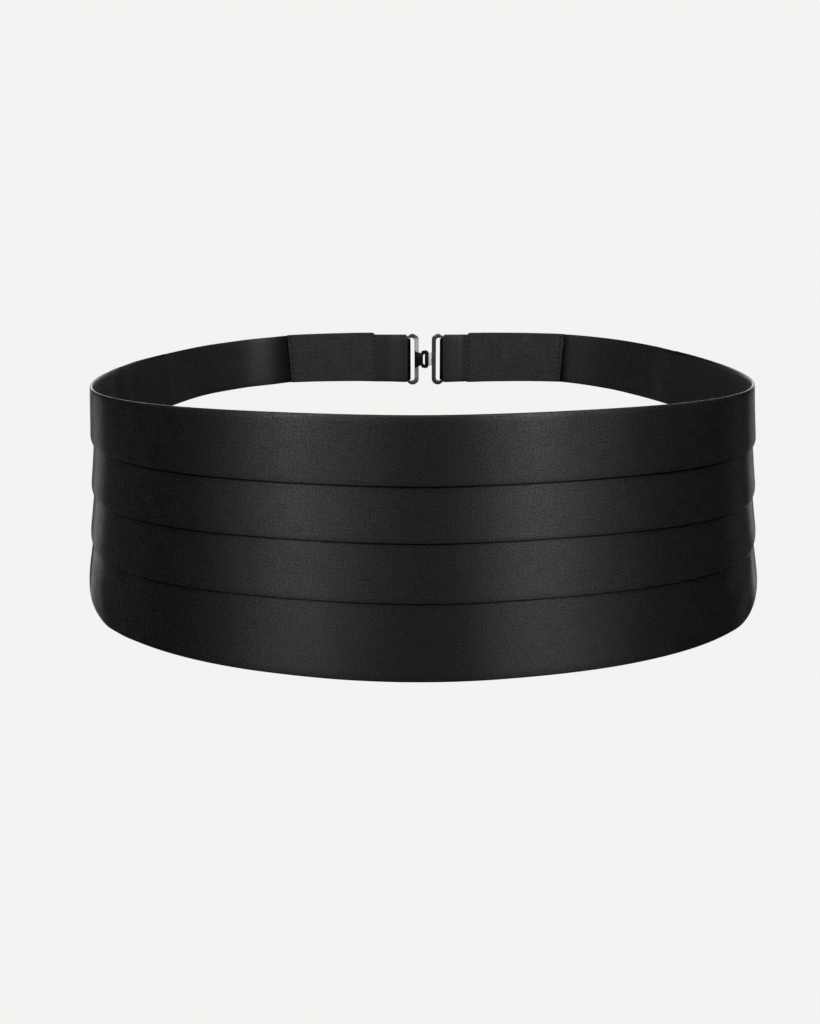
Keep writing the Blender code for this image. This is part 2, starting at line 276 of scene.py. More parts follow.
class Shelf:
    """The nodes of one new material, added and linked in reading order."""

    def __init__(self, name: str) -> None:
        """Starts a material.

        Args:
            name: The material's name.
        """
        self.material: Material = bpy.data.materials.new(name)
        self.material.use_nodes = True
        self.tree = self.material.node_tree
        self.surface: Node = self.tree.nodes["Principled BSDF"]

    def add(self, kind: str, inputs: dict[str, Any] | None = None, **settings: Any) -> Node:
        """Adds a node.

        Args:
            kind: The node's type, without the words ShaderNode.
            inputs: A value or another node's socket for each named input.
            settings: The node's own settings.

        Returns:
            The new node.
        """
        node = self.tree.nodes.new(f"ShaderNode{kind}")
        for name, value in settings.items():
            setattr(node, name, value)
        for name, value in (inputs or {}).items():
            self.put(node.inputs[int(name) if name.isdigit() else name], value)
        return node

    def put(self, socket: NodeSocket, value: Any) -> None:
        """Gives an input a value or a link.

        Args:
            socket: The input.
            value: A plain value, or the output socket to link.
        """
        if isinstance(value, bpy.types.NodeSocket):
            self.tree.links.new(value, socket)
        else:
            socket.default_value = value

    def finish(self, **inputs: Any) -> Material:
        """Sets the surface's inputs, their spaces written as underscores.

        Args:
            inputs: A value or a socket for each input of the surface.

        Returns:
            The finished material.
        """
        for name, value in inputs.items():
            self.put(self.surface.inputs[name.replace("_", " ")], value)
        return self.material

    def noise(self, place: NodeSocket, size: float, detail: float = 2.0) -> NodeSocket:
        """Cloudy noise from 0 to 1, with clouds of a size in millimetres and finer layers."""
        inputs = {"Vector": place, "Scale": 1.0 / (size * MM), "Detail": detail, "Roughness": 0.6}
        return self.add("TexNoise", inputs).outputs["Fac"]

    def ranged(
        self, value: NodeSocket, start: float, stop: float, low: float = 0.0, high: float = 1.0
    ) -> NodeSocket:
        """A value carried from the range start to stop over to the range low to high."""
        inputs = {"Value": value, "From Min": start, "From Max": stop, "To Min": low, "To Max": high}
        return self.add("MapRange", inputs).outputs["Result"]

    def blend(self, value: NodeSocket, stops: Sequence[tuple[float, Colour]]) -> NodeSocket:
        """A blend of colours.

        Args:
            value: Where it is read, from 0 to 1.
            stops: Places from 0 to 1, each with its colour.

        Returns:
            The colour's output.
        """
        ramp = self.add("ValToRGB", {"Fac": value})
        marks = ramp.color_ramp.elements
        while len(marks) < len(stops):
            marks.new(0.5)
        for mark, (position, colour) in zip(marks, stops):
            mark.position = position
            mark.color = (*colour, 1.0)
        return ramp.outputs["Color"]

    def stretched(self, place: NodeSocket, across: float, down: float) -> NodeSocket:
        """The same place with its two directions scaled."""
        inputs = {"Vector": place, "Scale": (across, down, 1.0)}
        return self.add("Mapping", inputs, vector_type="POINT").outputs["Vector"]

    def sum(self, *parts: tuple[NodeSocket, float]) -> NodeSocket:
        """A weighted sum.

        Args:
            parts: Each a socket and its weight.

        Returns:
            The sum's output.
        """
        total: NodeSocket | float = 0.0
        for socket, weight in parts:
            inputs = {"0": socket, "1": weight, "2": total}
            total = self.add("Math", inputs, operation="MULTIPLY_ADD").outputs[0]
        return total


@dataclass(frozen=True)
class ClothFinish:
    """A woven cloth: its colours, its shine and the size of its threads in millimetres.

    Streak, mottle and swell are sizes as shares of the grain. Slub and drop say how far the
    streaks are drawn out along the cloth and down it, and tones how much each pattern counts.
    """

    name: str
    weave: Weave
    dark: Colour
    light: Colour
    roughness: tuple[float, float]
    specular: float
    thread: float
    grain: float
    relief: float
    thread_relief: float = 0.02
    float_length: float = 1.0
    anisotropy: float = 0.0
    sheen: float = 0.0
    sheen_tint: Colour = (0.5, 0.5, 0.5)
    contrast: float = 0.07
    # Whether the cloth shows painted shade: black marks with no shine where its point attribute says.
    shows_painted_shade: bool = False
    speck: float = 0.6
    speck_contrast: float = 0.08
    dulling: float = 0.0
    streak: float = 0.8
    slub: float = 0.09
    drop: float = 0.11
    mottle: float = 9.0
    swell: float = 1.1
    tones: tuple[float, ...] = (0.42, 0.24, 0.24, 0.10)
    thread_gap: float = 0.14

    def threads(self, shelf: Shelf, place: NodeSocket) -> NodeSocket:
        """The height of the woven threads.

        Args:
            shelf: Where the nodes go.
            place: The flat cut's own place, in metres.

        Returns:
            A height from 0 to 1.
        """
        if self.weave is Weave.SATIN:
            inputs = {
                "Vector": place,
                "Color1": (1.0, 1.0, 1.0, 1.0),
                "Color2": (0.75, 0.75, 0.75, 1.0),
                "Mortar": (0.0, 0.0, 0.0, 1.0),
                "Scale": 1.0 / MM,
                "Mortar Size": self.thread * self.thread_gap,
                "Mortar Smooth": 1.0,
                "Brick Width": self.float_length,
                "Row Height": self.thread,
            }
            return shelf.add("TexBrick", inputs, offset=0.4, offset_frequency=2).outputs["Color"]
        if self.weave is Weave.TWILL:
            turned = {"Vector": place, "Rotation": (0.0, 0.0, math.radians(45.0))}
            diagonal = shelf.add("Mapping", turned, vector_type="POINT").outputs["Vector"]
            return self.ribs(shelf, diagonal, "X")
        across = self.ribs(shelf, place, "X")
        down = self.ribs(shelf, place, "Y")
        return shelf.add("Math", {"0": across, "1": down}, operation="MULTIPLY").outputs[0]

    def ribs(self, shelf: Shelf, place: NodeSocket, direction: str) -> NodeSocket:
        """Straight ribs one thread apart.

        Args:
            shelf: Where the nodes go.
            place: Where they are read, in metres.
            direction: The axis that they are counted along.

        Returns:
            A height from 0 to 1.
        """
        turns = math.tau / (WAVE_RADIANS * self.thread * MM)
        inputs = {"Vector": place, "Scale": turns, "Distortion": 0.0}
        return shelf.add("TexWave", inputs, bands_direction=direction).outputs["Fac"]

    def painted_shade(self, shelf: Shelf, place: NodeSocket, colour: NodeSocket) -> NodeSocket:
        """Dulls the cloth's specks and paints shade on it: black with no shine where its point
        attribute says.

        Args:
            shelf: Where the nodes go.
            place: The flat cut's own place, in metres.
            colour: The cloth's colour where it lies open.

        Returns:
            The colour with the painted shade.
        """
        # Painted shade: where the point attribute reaches 1 the cloth turns black and fully metallic,
        # so it gives back no light, as shadow in the fold lines and beside the tabs.
        marks = shelf.add("Attribute", attribute_name=PAINTED_SHADE_MAP).outputs["Fac"]
        low, high = 0.5 - self.speck_contrast, 0.5 + self.speck_contrast
        dull = shelf.ranged(shelf.noise(place, self.speck), low, high, high=self.dulling)
        matt = shelf.add("Math", {"0": marks, "1": dull}, operation="MAXIMUM")
        shelf.finish(Metallic=matt.outputs[0])
        unshaded_share = shelf.add("Math", {"0": 1.0, "1": marks}, operation="SUBTRACT").outputs[0]
        inputs = {"0": colour, "Scale": unshaded_share}
        return shelf.add("VectorMath", inputs, operation="SCALE").outputs[0]

    def material(self) -> Material:
        """Makes the cloth's material.

        Returns:
            The material.
        """
        shelf = Shelf(self.name)
        place = shelf.add("UVMap", uv_map=WEAVE_MAP).outputs["UV"]
        grain = shelf.noise(place, self.grain, detail=3.0)
        slubs = shelf.noise(shelf.stretched(place, self.slub, 1.0), self.grain * self.streak)
        drops = shelf.noise(shelf.stretched(place, 1.0, self.drop), self.grain * self.streak)
        mottle = shelf.noise(place, self.grain * self.mottle, detail=4.0)
        tone = shelf.sum(*zip((grain, slubs, drops, mottle), self.tones))
        low, high = 0.5 - self.contrast, 0.5 + self.contrast
        colour = shelf.blend(tone, ((low, self.dark), (high, self.light)))
        gloss = shelf.ranged(tone, low, high, self.roughness[1], self.roughness[0])
        swell = shelf.noise(place, self.grain * self.swell, detail=0.4)
        height = shelf.sum((swell, self.relief), (self.threads(shelf, place), self.thread_relief))
        bump = shelf.add("Bump", {"Height": height, "Distance": MM, "Strength": 1.0})
        tangent = shelf.add("Tangent", direction_type="UV_MAP", uv_map=WEAVE_MAP)
        # Painted shade, for the cloths that show it.
        if self.shows_painted_shade:
            colour = self.painted_shade(shelf, place, colour)
        return shelf.finish(
            Base_Color=colour,
            Roughness=gloss,
            Specular_IOR_Level=self.specular,
            Anisotropic=self.anisotropy,
            Anisotropic_Rotation=0.25,
            Sheen_Weight=self.sheen,
            Sheen_Roughness=0.4,
            Sheen_Tint=(*self.sheen_tint, 1.0),
            Normal=bump.outputs["Normal"],
            Tangent=tangent.outputs["Tangent"],
        )


class PaintedHighlight(NamedTuple):
    """How much of a highlight is painted on a plating at a height."""

    height: float
    share: float


@dataclass(frozen=True)
class MetalFinish:
    """A plated metal with fine wear: its colours and how far its shine varies."""

    name: str
    deep: Colour
    worn: Colour
    roughness: tuple[float, float]
    metallic: float = 1.0
    contrast: float = 0.15
    cloud: float = 1.6
    scratch: float = 0.12
    scratch_stretch: float = 0.2
    tones: tuple[float, ...] = (0.6, 0.4)
    relief: float = 0.004
    # Highlight and shade painted by height; where given, they take the place of the random wear.
    painted_highlight: tuple[PaintedHighlight, ...] = ()

    def painted_highlight_colour(self, shelf: Shelf, place: NodeSocket) -> NodeSocket:
        """The plating's colour with a highlight painted across its upper middle and shade at its top
        and bottom.

        Args:
            shelf: The material's nodes.
            place: The place on the piece.

        Returns:
            The colour at each place.
        """
        low, high = self.painted_highlight[0].height * MM, self.painted_highlight[-1].height * MM
        height = shelf.add("SeparateXYZ", {"Vector": place}).outputs["Z"]
        stops = []
        for highlight_stop in self.painted_highlight:
            colour = tuple(a + (b - a) * highlight_stop.share for a, b in zip(self.deep, self.worn))
            stops.append(((highlight_stop.height * MM - low) / (high - low), colour))
        return shelf.blend(shelf.ranged(height, low, high), stops)

    def material(self) -> Material:
        """Makes the metal's material.

        Returns:
            The material.
        """
        shelf = Shelf(self.name)
        place = shelf.add("TexCoord").outputs["Object"]
        cloud = shelf.noise(place, self.cloud, detail=4.0)
        drawn_out = shelf.stretched(place, 1.0, self.scratch_stretch)
        scratch = shelf.noise(drawn_out, self.scratch, detail=3.0)
        tone = shelf.sum(*zip((cloud, scratch), self.tones))
        low, high = 0.5 - self.contrast, 0.5 + self.contrast
        colour = shelf.blend(tone, ((low, self.deep), (high, self.worn)))
        gloss = shelf.ranged(tone, low, high, *self.roughness)
        bump = shelf.add("Bump", {"Height": scratch, "Distance": self.relief * MM})
        # A highlight and shade painted by height take the place of the random wear.
        if self.painted_highlight:
            colour = self.painted_highlight_colour(shelf, place)
        return shelf.finish(
            Base_Color=colour,
            Roughness=gloss,
            Metallic=self.metallic,
            Normal=bump.outputs["Normal"],
        )


FRONT_SATIN = ClothFinish(
    name="front satin",
    weave=Weave.SATIN,
    dark=(0.0038, 0.0039, 0.0043),
    light=(0.0172, 0.0165, 0.0158),
    roughness=(0.32, 0.44),
    specular=0.5,
    thread=0.17,
    grain=1.0,
    relief=0.030,
    thread_relief=0.004,
    float_length=1.1,
    anisotropy=0.86,
    # The front, and the straps that copy it, show painted shade where their cloth is marked.
    shows_painted_shade=True,
    dulling=0.7,
)
STRAP_SATIN = replace(
    FRONT_SATIN,
    name="strap satin",
    dark=(0.0098, 0.0100, 0.0108),
    light=(0.0220, 0.0212, 0.0204),
    roughness=(0.42, 0.50),
    specular=0.46,
    grain=1.6,
    relief=0.06,
    anisotropy=0.75,
    dulling=0.2,
)
BACKING_TWILL = ClothFinish(
    name="backing twill",
    weave=Weave.TWILL,
    dark=(0.0068, 0.0068, 0.0072),
    light=(0.0140, 0.0136, 0.0133),
    roughness=(0.50, 0.60),
    specular=0.35,
    thread=0.45,
    grain=0.9,
    relief=0.05,
    anisotropy=0.2,
    sheen=0.05,
    sheen_tint=(0.4, 0.4, 0.42),
)
TAB_FACING = ClothFinish(
    name="tab facing",
    weave=Weave.PLAIN,
    dark=(0.0185, 0.0181, 0.0167),
    light=(0.0385, 0.0376, 0.0345),
    roughness=(0.78, 0.88),
    specular=0.25,
    thread=0.30,
    grain=1.3,
    relief=0.13,
    sheen=0.12,
    sheen_tint=(0.45, 0.44, 0.42),
    contrast=0.085,
)
SEWING_THREAD = ClothFinish(
    name="sewing thread",
    weave=Weave.TWILL,
    dark=(0.003, 0.003, 0.003),
    light=(0.008, 0.008, 0.008),
    roughness=(0.6, 0.7),
    specular=0.2,
    thread=0.12,
    grain=0.3,
    relief=0.01,
)
BLACK_NICKEL = MetalFinish(
    name="black nickel",
    deep=(0.125, 0.108, 0.102),
    worn=(0.20, 0.175, 0.166),
    roughness=(0.34, 0.46),
)
# The left ring: nickel with a highlight painted across its upper middle and shade at its top and
# bottom.
NICKEL_WITH_PAINTED_HIGHLIGHT = MetalFinish(
    name="nickel with painted highlight",
    deep=(0.10, 0.086, 0.081),
    worn=(0.80, 0.75, 0.74),
    roughness=(0.46, 0.56),
    painted_highlight=(
        PaintedHighlight(-17.9, 0.05),
        PaintedHighlight(-14.8, 0.15),
        PaintedHighlight(-12.0, 0.50),
        PaintedHighlight(-7.0, 0.35),
        PaintedHighlight(3.0, 1.0),
        PaintedHighlight(12.0, 1.0),
        PaintedHighlight(14.2, 0.0),
        PaintedHighlight(16.1, 0.0),
    ),
)
# Black enamel for the eye and the tongue; on the hook's tip it is painted shade.
BLACK_ENAMEL_AND_PAINTED_SHADE = MetalFinish(
    name="black enamel and painted shade",
    deep=(0.016, 0.015, 0.014),
    worn=(0.034, 0.031, 0.029),
    roughness=(0.38, 0.52),
)
# A painted highlight: the hook's strip is a pale matt colour, not a metal, standing for steel that
# reflects the lights.
STEEL_WITH_PAINTED_HIGHLIGHT = MetalFinish(
    name="steel with painted highlight",
    deep=(0.90, 0.89, 0.87),
    worn=(0.97, 0.96, 0.95),
    roughness=(0.40, 0.50),
    metallic=0.0,
)


# ----------------------------------------------------------------------- the waist's form


class Wave(NamedTuple):
    """One turn of the waist line: how far it reaches across (X) and through (Y)."""

    turns: int
    across: float
    through: float


class Fold(NamedTuple):
    """A pleat's folded edge, or the bottom edge: its depths and its lift to each side."""

    depth: float
    left_lift: float
    right_lift: float
    end_depth: float


class Crease(NamedTuple):
    """A soft ridge, or a trough where its height is negative."""

    along: float
    depth: float
    reach: float
    width: float
    height: float
    lean: float = 0.0


class Sway(NamedTuple):
    """A long low wave of the cloth round the waist, which drifts as it goes down."""

    length: float
    height: float
    start: float
    drift: float


def crease_field(creases: Sequence[Crease], along: Floats, depth: Floats) -> Floats:
    """How far the creases lift the cloth.

    Args:
        creases: The creases, each with its own place, size and lean in degrees.
        along: Places round the waist.
        depth: Depths below the top edge.

    Returns:
        The lift in millimetres, in the shape of the two places together.
    """
    lift = np.zeros(np.broadcast(along, depth).shape)
    for crease in creases:
        lean = math.radians(crease.lean)
        beside = along - crease.along
        below = depth - crease.depth
        across = beside * math.cos(lean) + below * math.sin(lean)
        down = below * math.cos(lean) - beside * math.sin(lean)
        lift = lift + crease.height * np.exp(
            -((across / crease.width) ** 2) - (down / crease.reach) ** 2
        )
    return lift


@dataclass
class WaistLine:
    """The waist line seen from above, measured round from the front centre."""

    waves: tuple[Wave, ...] = (
        Wave(1, 153.6, 118.5),
        Wave(2, 27.4, 10.2),
        Wave(3, -13.7, -13.1),
        Wave(4, -1.9, -0.4),
        Wave(5, -5.4, 1.4),
    )
    samples: int = 2880
    top_edge_z: float = 16.0
    distance: Floats = field(init=False)
    x: Floats = field(init=False)
    y: Floats = field(init=False)
    out_x: Floats = field(init=False)
    out_y: Floats = field(init=False)

    def __post_init__(self) -> None:
        """Works the line out from its waves."""
        angle = np.linspace(0.0, math.tau, self.samples + 1)
        self.x = sum(wave.across * np.sin(wave.turns * angle) for wave in self.waves)
        self.y = -sum(wave.through * np.cos(wave.turns * angle) for wave in self.waves)
        self.y -= (self.y.max() + self.y.min()) / 2
        steps = np.hypot(np.diff(self.x), np.diff(self.y))
        self.distance = np.concatenate([[0.0], np.cumsum(steps)])
        self.out_x = np.gradient(self.y, self.distance)
        self.out_y = -np.gradient(self.x, self.distance)

    @property
    def length(self) -> float:
        """The distance all round."""
        return float(self.distance[-1])

    @property
    def half(self) -> float:
        """The distance from the front centre to the back centre."""
        return self.length / 2

    def place(self, along: Floats, out: Floats, depth: Floats) -> Floats:
        """Places in space.

        Args:
            along: Places round the waist.
            out: Distances out of the line.
            depth: Depths below the top edge.

        Returns:
            Points in metres, with one more axis than the arguments.
        """
        along, out, depth = np.broadcast_arrays(along, out, depth)
        turn = np.mod(along, self.length)
        x = np.interp(turn, self.distance, self.x) + out * np.interp(turn, self.distance, self.out_x)
        y = np.interp(turn, self.distance, self.y) + out * np.interp(turn, self.distance, self.out_y)
        return np.stack([x, y, self.top_edge_z - depth], axis=-1) * MM

    def facing(self, along: Floats) -> Floats:
        """How far the cloth faces sideways: -1 at the left side and 1 at the right."""
        return np.interp(np.mod(along, self.length), self.distance, self.out_x)


@dataclass
class PanelForm:
    """The form that the front and its backing share: edges, folds, flare and soft unevenness."""

    waist: WaistLine
    half: float = 281.0
    taper_start: float = 165.0
    lift_reach: float = 150.0
    flare_slope: float = 0.055
    flare_curve: float = 0.0005
    front_flare_share: float = 0.5
    right_lean: float = 0.6
    right_lean_depth: float = 40.0
    front_out: float = 2.75
    front_end_out: float = 2.3
    backing_out: float = -0.15
    backing_end_out: float = -0.72
    end_press: float = 28.0
    left_end_sink: float = 0.4
    station_step: float = 1.6
    folds: tuple[Fold, ...] = (
        Fold(33.7, 2.5, 1.2, 8.6),
        Fold(61.7, 2.0, 0.6, 16.8),
        Fold(92.1, 2.5, 2.0, 24.9),
    )
    bottom: Fold = Fold(133.1, 7.4, 6.0, 33.0)
    sways: tuple[Sway, ...] = (
        Sway(143.0, 0.16, 0.7, 0.011),
        Sway(61.0, 0.05, 2.1, -0.023),
        Sway(37.0, 0.016, 4.4, 0.041),
        Sway(23.0, 0.006, 1.3, -0.06),
    )
    creases: tuple[Crease, ...] = (
        Crease(-166, 117, 13, 4.5, 0.45, -24),
        Crease(-155, 121, 9, 4.0, 0.30, -20),
        Crease(-182, 104, 17, 5.0, 0.40, -14),
        Crease(170, 108, 15, 4.5, 0.45, 22),
        Crease(181, 96, 15, 5.0, 0.35, 12),
        Crease(-214, 40, 34, 5.0, 0.80, 5),
        Crease(-233, 24, 26, 3.2, 1.10, 3),
        Crease(-250, 20, 24, 3.0, 0.95, -4),
        Crease(-241, 22, 24, 3.0, -0.80, 2),
        Crease(211, 44, 36, 6.5, 0.45, -6),
        Crease(229, 26, 20, 3.0, 0.45, -3),
        Crease(237, 22, 18, 2.8, 0.38, 2),
        Crease(246, 20, 17, 4.0, -0.40, 3),
    )

    def stations(self) -> Floats:
        """Places round the waist from one end of the panel to the other."""
        count = int(round(2 * self.half / self.station_step))
        return np.linspace(-self.half, self.half, count + 1)

    def fold_depth(self, fold: Fold, along: Floats) -> Floats:
        """How deep a fold or the bottom edge lies, as it climbs to the strap.

        Args:
            fold: The fold, or the bottom edge.
            along: Places round the waist.

        Returns:
            The depth at each place.
        """
        lift = np.where(along > 0, fold.right_lift, fold.left_lift)
        climb = (np.minimum(np.abs(along), self.half) / self.lift_reach) ** 3
        open_depth = fold.depth - lift * climb
        closing = smoothstep((np.abs(along) - self.taper_start) / (self.half - self.taper_start))
        return open_depth + (fold.end_depth - open_depth) * closing

    def top_depth(self, along: Floats) -> Floats:
        """How far the top edge sinks towards the left strap's own top edge."""
        closing = smoothstep((-along - self.half + self.end_press) / self.end_press)
        return self.left_end_sink * closing

    def unevenness(self, along: Floats, depth: Floats) -> Floats:
        """How far the cloth sways and creases out of its even form.

        Args:
            along: Places round the waist.
            depth: Depths below the top edge.

        Returns:
            The distance out at each place.
        """
        sway = sum(
            wave.height * np.sin(math.tau * along / wave.length + wave.start + wave.drift * depth)
            for wave in self.sways
        )
        return sway + crease_field(self.creases, along, depth)

    def stand_out(self, along: Floats, depth: Floats, open_out: float, end_out: float) -> Floats:
        """How far a layer of the panel stands out of the waist line.

        Args:
            along: Places round the waist.
            depth: Depths below the top edge.
            open_out: Where the layer lies at the top edge.
            end_out: Where it is pressed to at the panel's ends.

        Returns:
            The distance at each place.
        """
        facing = self.waist.facing(along)
        share = self.front_flare_share + (1.0 - self.front_flare_share) * facing**2
        flare = (self.flare_slope * depth + self.flare_curve * depth**2) * share
        lean = self.right_lean * facing * smoothstep(depth / self.right_lean_depth)
        free = open_out + flare + lean + self.unevenness(along, depth)
        closing = smoothstep((np.abs(along) - self.half + self.end_press) / self.end_press)
        return free + (end_out - free) * closing


    def laid(
        self, name: str, along: Floats, out: Floats, depth: Floats, cloth: float,
        painted_shade: Floats | None = None,
    ) -> tuple[Object, Floats]:
        """Cloth laid along a layer of the panel and given its thickness.

        Args:
            name: The piece's name.
            along: Its stations.
            out: Its points' distances out, shaped (stations, points).
            depth: Its points' depths, in the same shape.
            cloth: Its thickness.
            painted_shade: How much shade is painted at each point, for a cloth that shows it.

        Returns:
            The piece, and the length of its cloth at each station.
        """
        down = flat_lengths(out, depth)
        flat = np.stack([np.broadcast_to(along[:, None], out.shape), down], axis=-1)
        piece = lay_cloth(name, self.waist.place(along[:, None], out, depth), flat * MM)
        if painted_shade is not None:
            store_painted_shade(piece, painted_shade)
        face_outwards(piece)
        finish_with(piece, "SOLIDIFY", thickness=cloth * MM, offset=0.0, use_quality_normals=True)
        shade(piece)
        return piece, down[:, -1]


# -------------------------------------------------------------------------- the pieces


def store_painted_shade(piece: Object, painted_shade: Floats) -> None:
    """Stores how much shade is painted at each point as laid, from 0 to 1, to be shown black."""
    marks = piece.data.attributes.new(PAINTED_SHADE_MAP, "FLOAT", "POINT")
    marks.data.foreach_set("value", painted_shade.astype(np.float32).ravel())


def wear(
    piece: Object,
    finish: ClothFinish | MetalFinish,
    stands_for: Sequence[str] = (),
) -> Object:
    """Dresses a piece and ties it to the frame.

    Args:
        piece: The piece, with its place in its mesh.
        finish: Its finish.
        stands_for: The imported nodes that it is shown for.

    Returns:
        The same piece.
    """
    material = bpy.data.materials.get(finish.name) or finish.material()
    piece.data.materials.clear()
    piece.data.materials.append(material)
    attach(piece, BODY)
    if stands_for:
        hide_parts(*stands_for)
    triangles = sum(len(face.vertices) - 2 for face in piece.data.polygons)
    log.info("%s: %d triangles, %s", piece.name, triangles, finish.name)
    return piece


def flat_lengths(out: Floats, depth: Floats) -> Floats:
    """The distance down the cloth from its first edge, row by row.

    Args:
        out: Distances out of the waist line, shaped (stations, points).
        depth: Depths, in the same shape.

    Returns:
        The distances, in the same shape.
    """
    steps = np.hypot(np.diff(out, axis=1), np.diff(depth, axis=1))
    start = np.zeros((out.shape[0], 1))
    return np.concatenate([start, np.cumsum(steps, axis=1)], axis=1)


def emerging(depth: Floats, start: Floats, stop: Floats) -> Floats:
    """How far a band still lies back: 1 where it starts, 0 at its own folded edge."""
    return 1.0 - np.clip((depth - start) / (stop - start), 0.0, 1.0)


class Row(NamedTuple):
    """One row of the front's points round the waist, and how much shade is painted on it."""

    out: Floats
    depth: Floats
    # How much shade is painted on the row, from 0 to 1.
    press: float = 0.0


@dataclass
class PleatedFront:
    """The satin front: one cloth in four bands, each lapping over the next."""

    form: PanelForm
    name: str = "front_satin"
    cloth: float = 0.40
    pitch: float = 0.85
    underlap: float = 0.36
    face_points: int = 11
    last_face_share: float = 0.985
    hidden_points: int = 3
    turn_points: int = 6
    top_lean: float = 1.1
    fold_radius: float = 0.23
    # The shade painted in the fold lines: how far it leads in before the turn and the angle over which
    # it comes to full, in radians, and where round the waist it fades out and over what length. The
    # rows just under each fold are given by their depth below it and their painted shade.
    painted_shade_lead: float = 0.2
    painted_shade_turn: float = 0.5
    painted_shade_reach: float = 177.0
    painted_shade_fade: float = 10.0
    under_rows: tuple[tuple[float, float], ...] = ((0.3, 1.0), (0.7, 0.75), (1.1, 0.0), (1.7, 0.0))
    under_shares: tuple[float, ...] = (0.35, 0.75)
    return_shares: tuple[float, ...] = (0.3, 0.65, 0.92)
    top_inside: float = 0.32
    top_hem_shares: tuple[float, ...] = (1.0, 0.6)
    bottom_hem_shares: tuple[float, ...] = (0.5, 1.0)
    turned_in: float = 4.0
    bottom_press: float = 0.12
    bottom_press_reach: float = 3.0
    bottom_inside: float = 0.32
    end_turn: float = 0.8
    end_shares: tuple[float, ...] = (0.75, 0.45, 0.2, 0.05)
    end_out: float = 0.75

    @property
    def face_shares(self) -> list[float]:
        """Where a band's rows lie, as shares of its face, with a close one at its end."""
        return [*np.linspace(0.0, 1.0, self.face_points + 1)[1:-1], self.last_face_share, 1.0]

    def middle(self, along: Floats, depth: Floats) -> Floats:
        """How far out the middle of the outermost cloth lies.

        Args:
            along: Places round the waist.
            depth: Depths below the top edge.

        Returns:
            The distance at each place.
        """
        form = self.form
        outer = form.stand_out(along, depth, form.front_out, form.front_end_out)
        above = form.fold_depth(form.bottom, along) - depth
        press = self.bottom_press * smoothstep(1.0 - above / self.bottom_press_reach)
        return outer - self.cloth / 2 - press

    def band(self, along: Floats, start: Floats, stop: Floats, sunk: float, under: bool) -> list[Row]:
        """A band's face.

        Args:
            along: Places round the waist.
            start: The depth where the face starts.
            stop: The depth where its own fold starts.
            sunk: How far it lies back at its start.
            under: Whether it starts under the band above, where shade is painted on it.

        Returns:
            Its rows, going down.
        """
        rows = [(start + (stop - start) * share, 0.0) for share in self.face_shares]
        # The rows just under the fold above carry painted shade.
        if under:
            rows = [(start + row, press) for row, press in self.under_rows] + rows
        return [
            Row(self.middle(along, depth) - sunk * emerging(depth, start, stop), depth, press)
            for depth, press in rows
        ]

    def turn(self, out: Floats, depth: Floats, size: Floats, start: float, folded: bool) -> list[Row]:
        """The cloth turning back on itself.

        Args:
            out: How far out the turn's centre lies.
            depth: How deep its centre lies.
            size: Its radius.
            start: The angle that it starts from.
            folded: Whether it is a pleat's fold, with shade painted round its underside.

        Returns:
            Its rows, over half a turn.
        """
        rows = []
        for angle in np.linspace(start, start + math.pi, self.turn_points):
            # Shade is painted round a fold's underside.
            press = min((angle + self.painted_shade_lead) / self.painted_shade_turn, 1.0) if folded else 0.0
            rows.append(Row(out + size * math.cos(angle), depth + size * math.sin(angle), press))
        return rows

    def pleat(self, along: Floats, start: Floats, fold: Floats, first: bool) -> list[Row]:
        """One pleat: its face, its fold, the layer under it and the turn at that layer's top.

        Args:
            along: Places round the waist.
            start: The depth where the face starts.
            fold: The depth of the folded edge.
            first: Whether it is the topmost.

        Returns:
            Its rows, as the cloth runs.
        """
        radius = self.pitch / 2
        sunk = self.top_lean if first else 2 * self.pitch
        face_end = fold - self.fold_radius - self.cloth / 2
        rows = self.band(along, start, face_end, sunk, not first)
        fold_out = self.middle(along, face_end) - self.fold_radius
        rows += self.turn(fold_out, face_end, self.fold_radius, 0.0, True)
        lap_turn = fold - self.underlap * (fold - start) + radius
        for share in self.under_shares:
            depth = face_end + (lap_turn - face_end) * share
            rows.append(Row(self.middle(along, depth) - self.pitch, depth))
        lap_out = self.middle(along, lap_turn) - 1.5 * self.pitch
        for angle in np.linspace(0.0, -math.pi, self.hidden_points):
            rows.append(Row(lap_out + radius * math.cos(angle), lap_turn + radius * math.sin(angle)))
        # The layer that runs back up under the fold is painted fully as shade.
        for share in self.return_shares:
            depth = lap_turn + (fold - lap_turn) * share
            rows.append(Row(self.middle(along, depth) - 2 * self.pitch, depth, 1.0))
        return rows

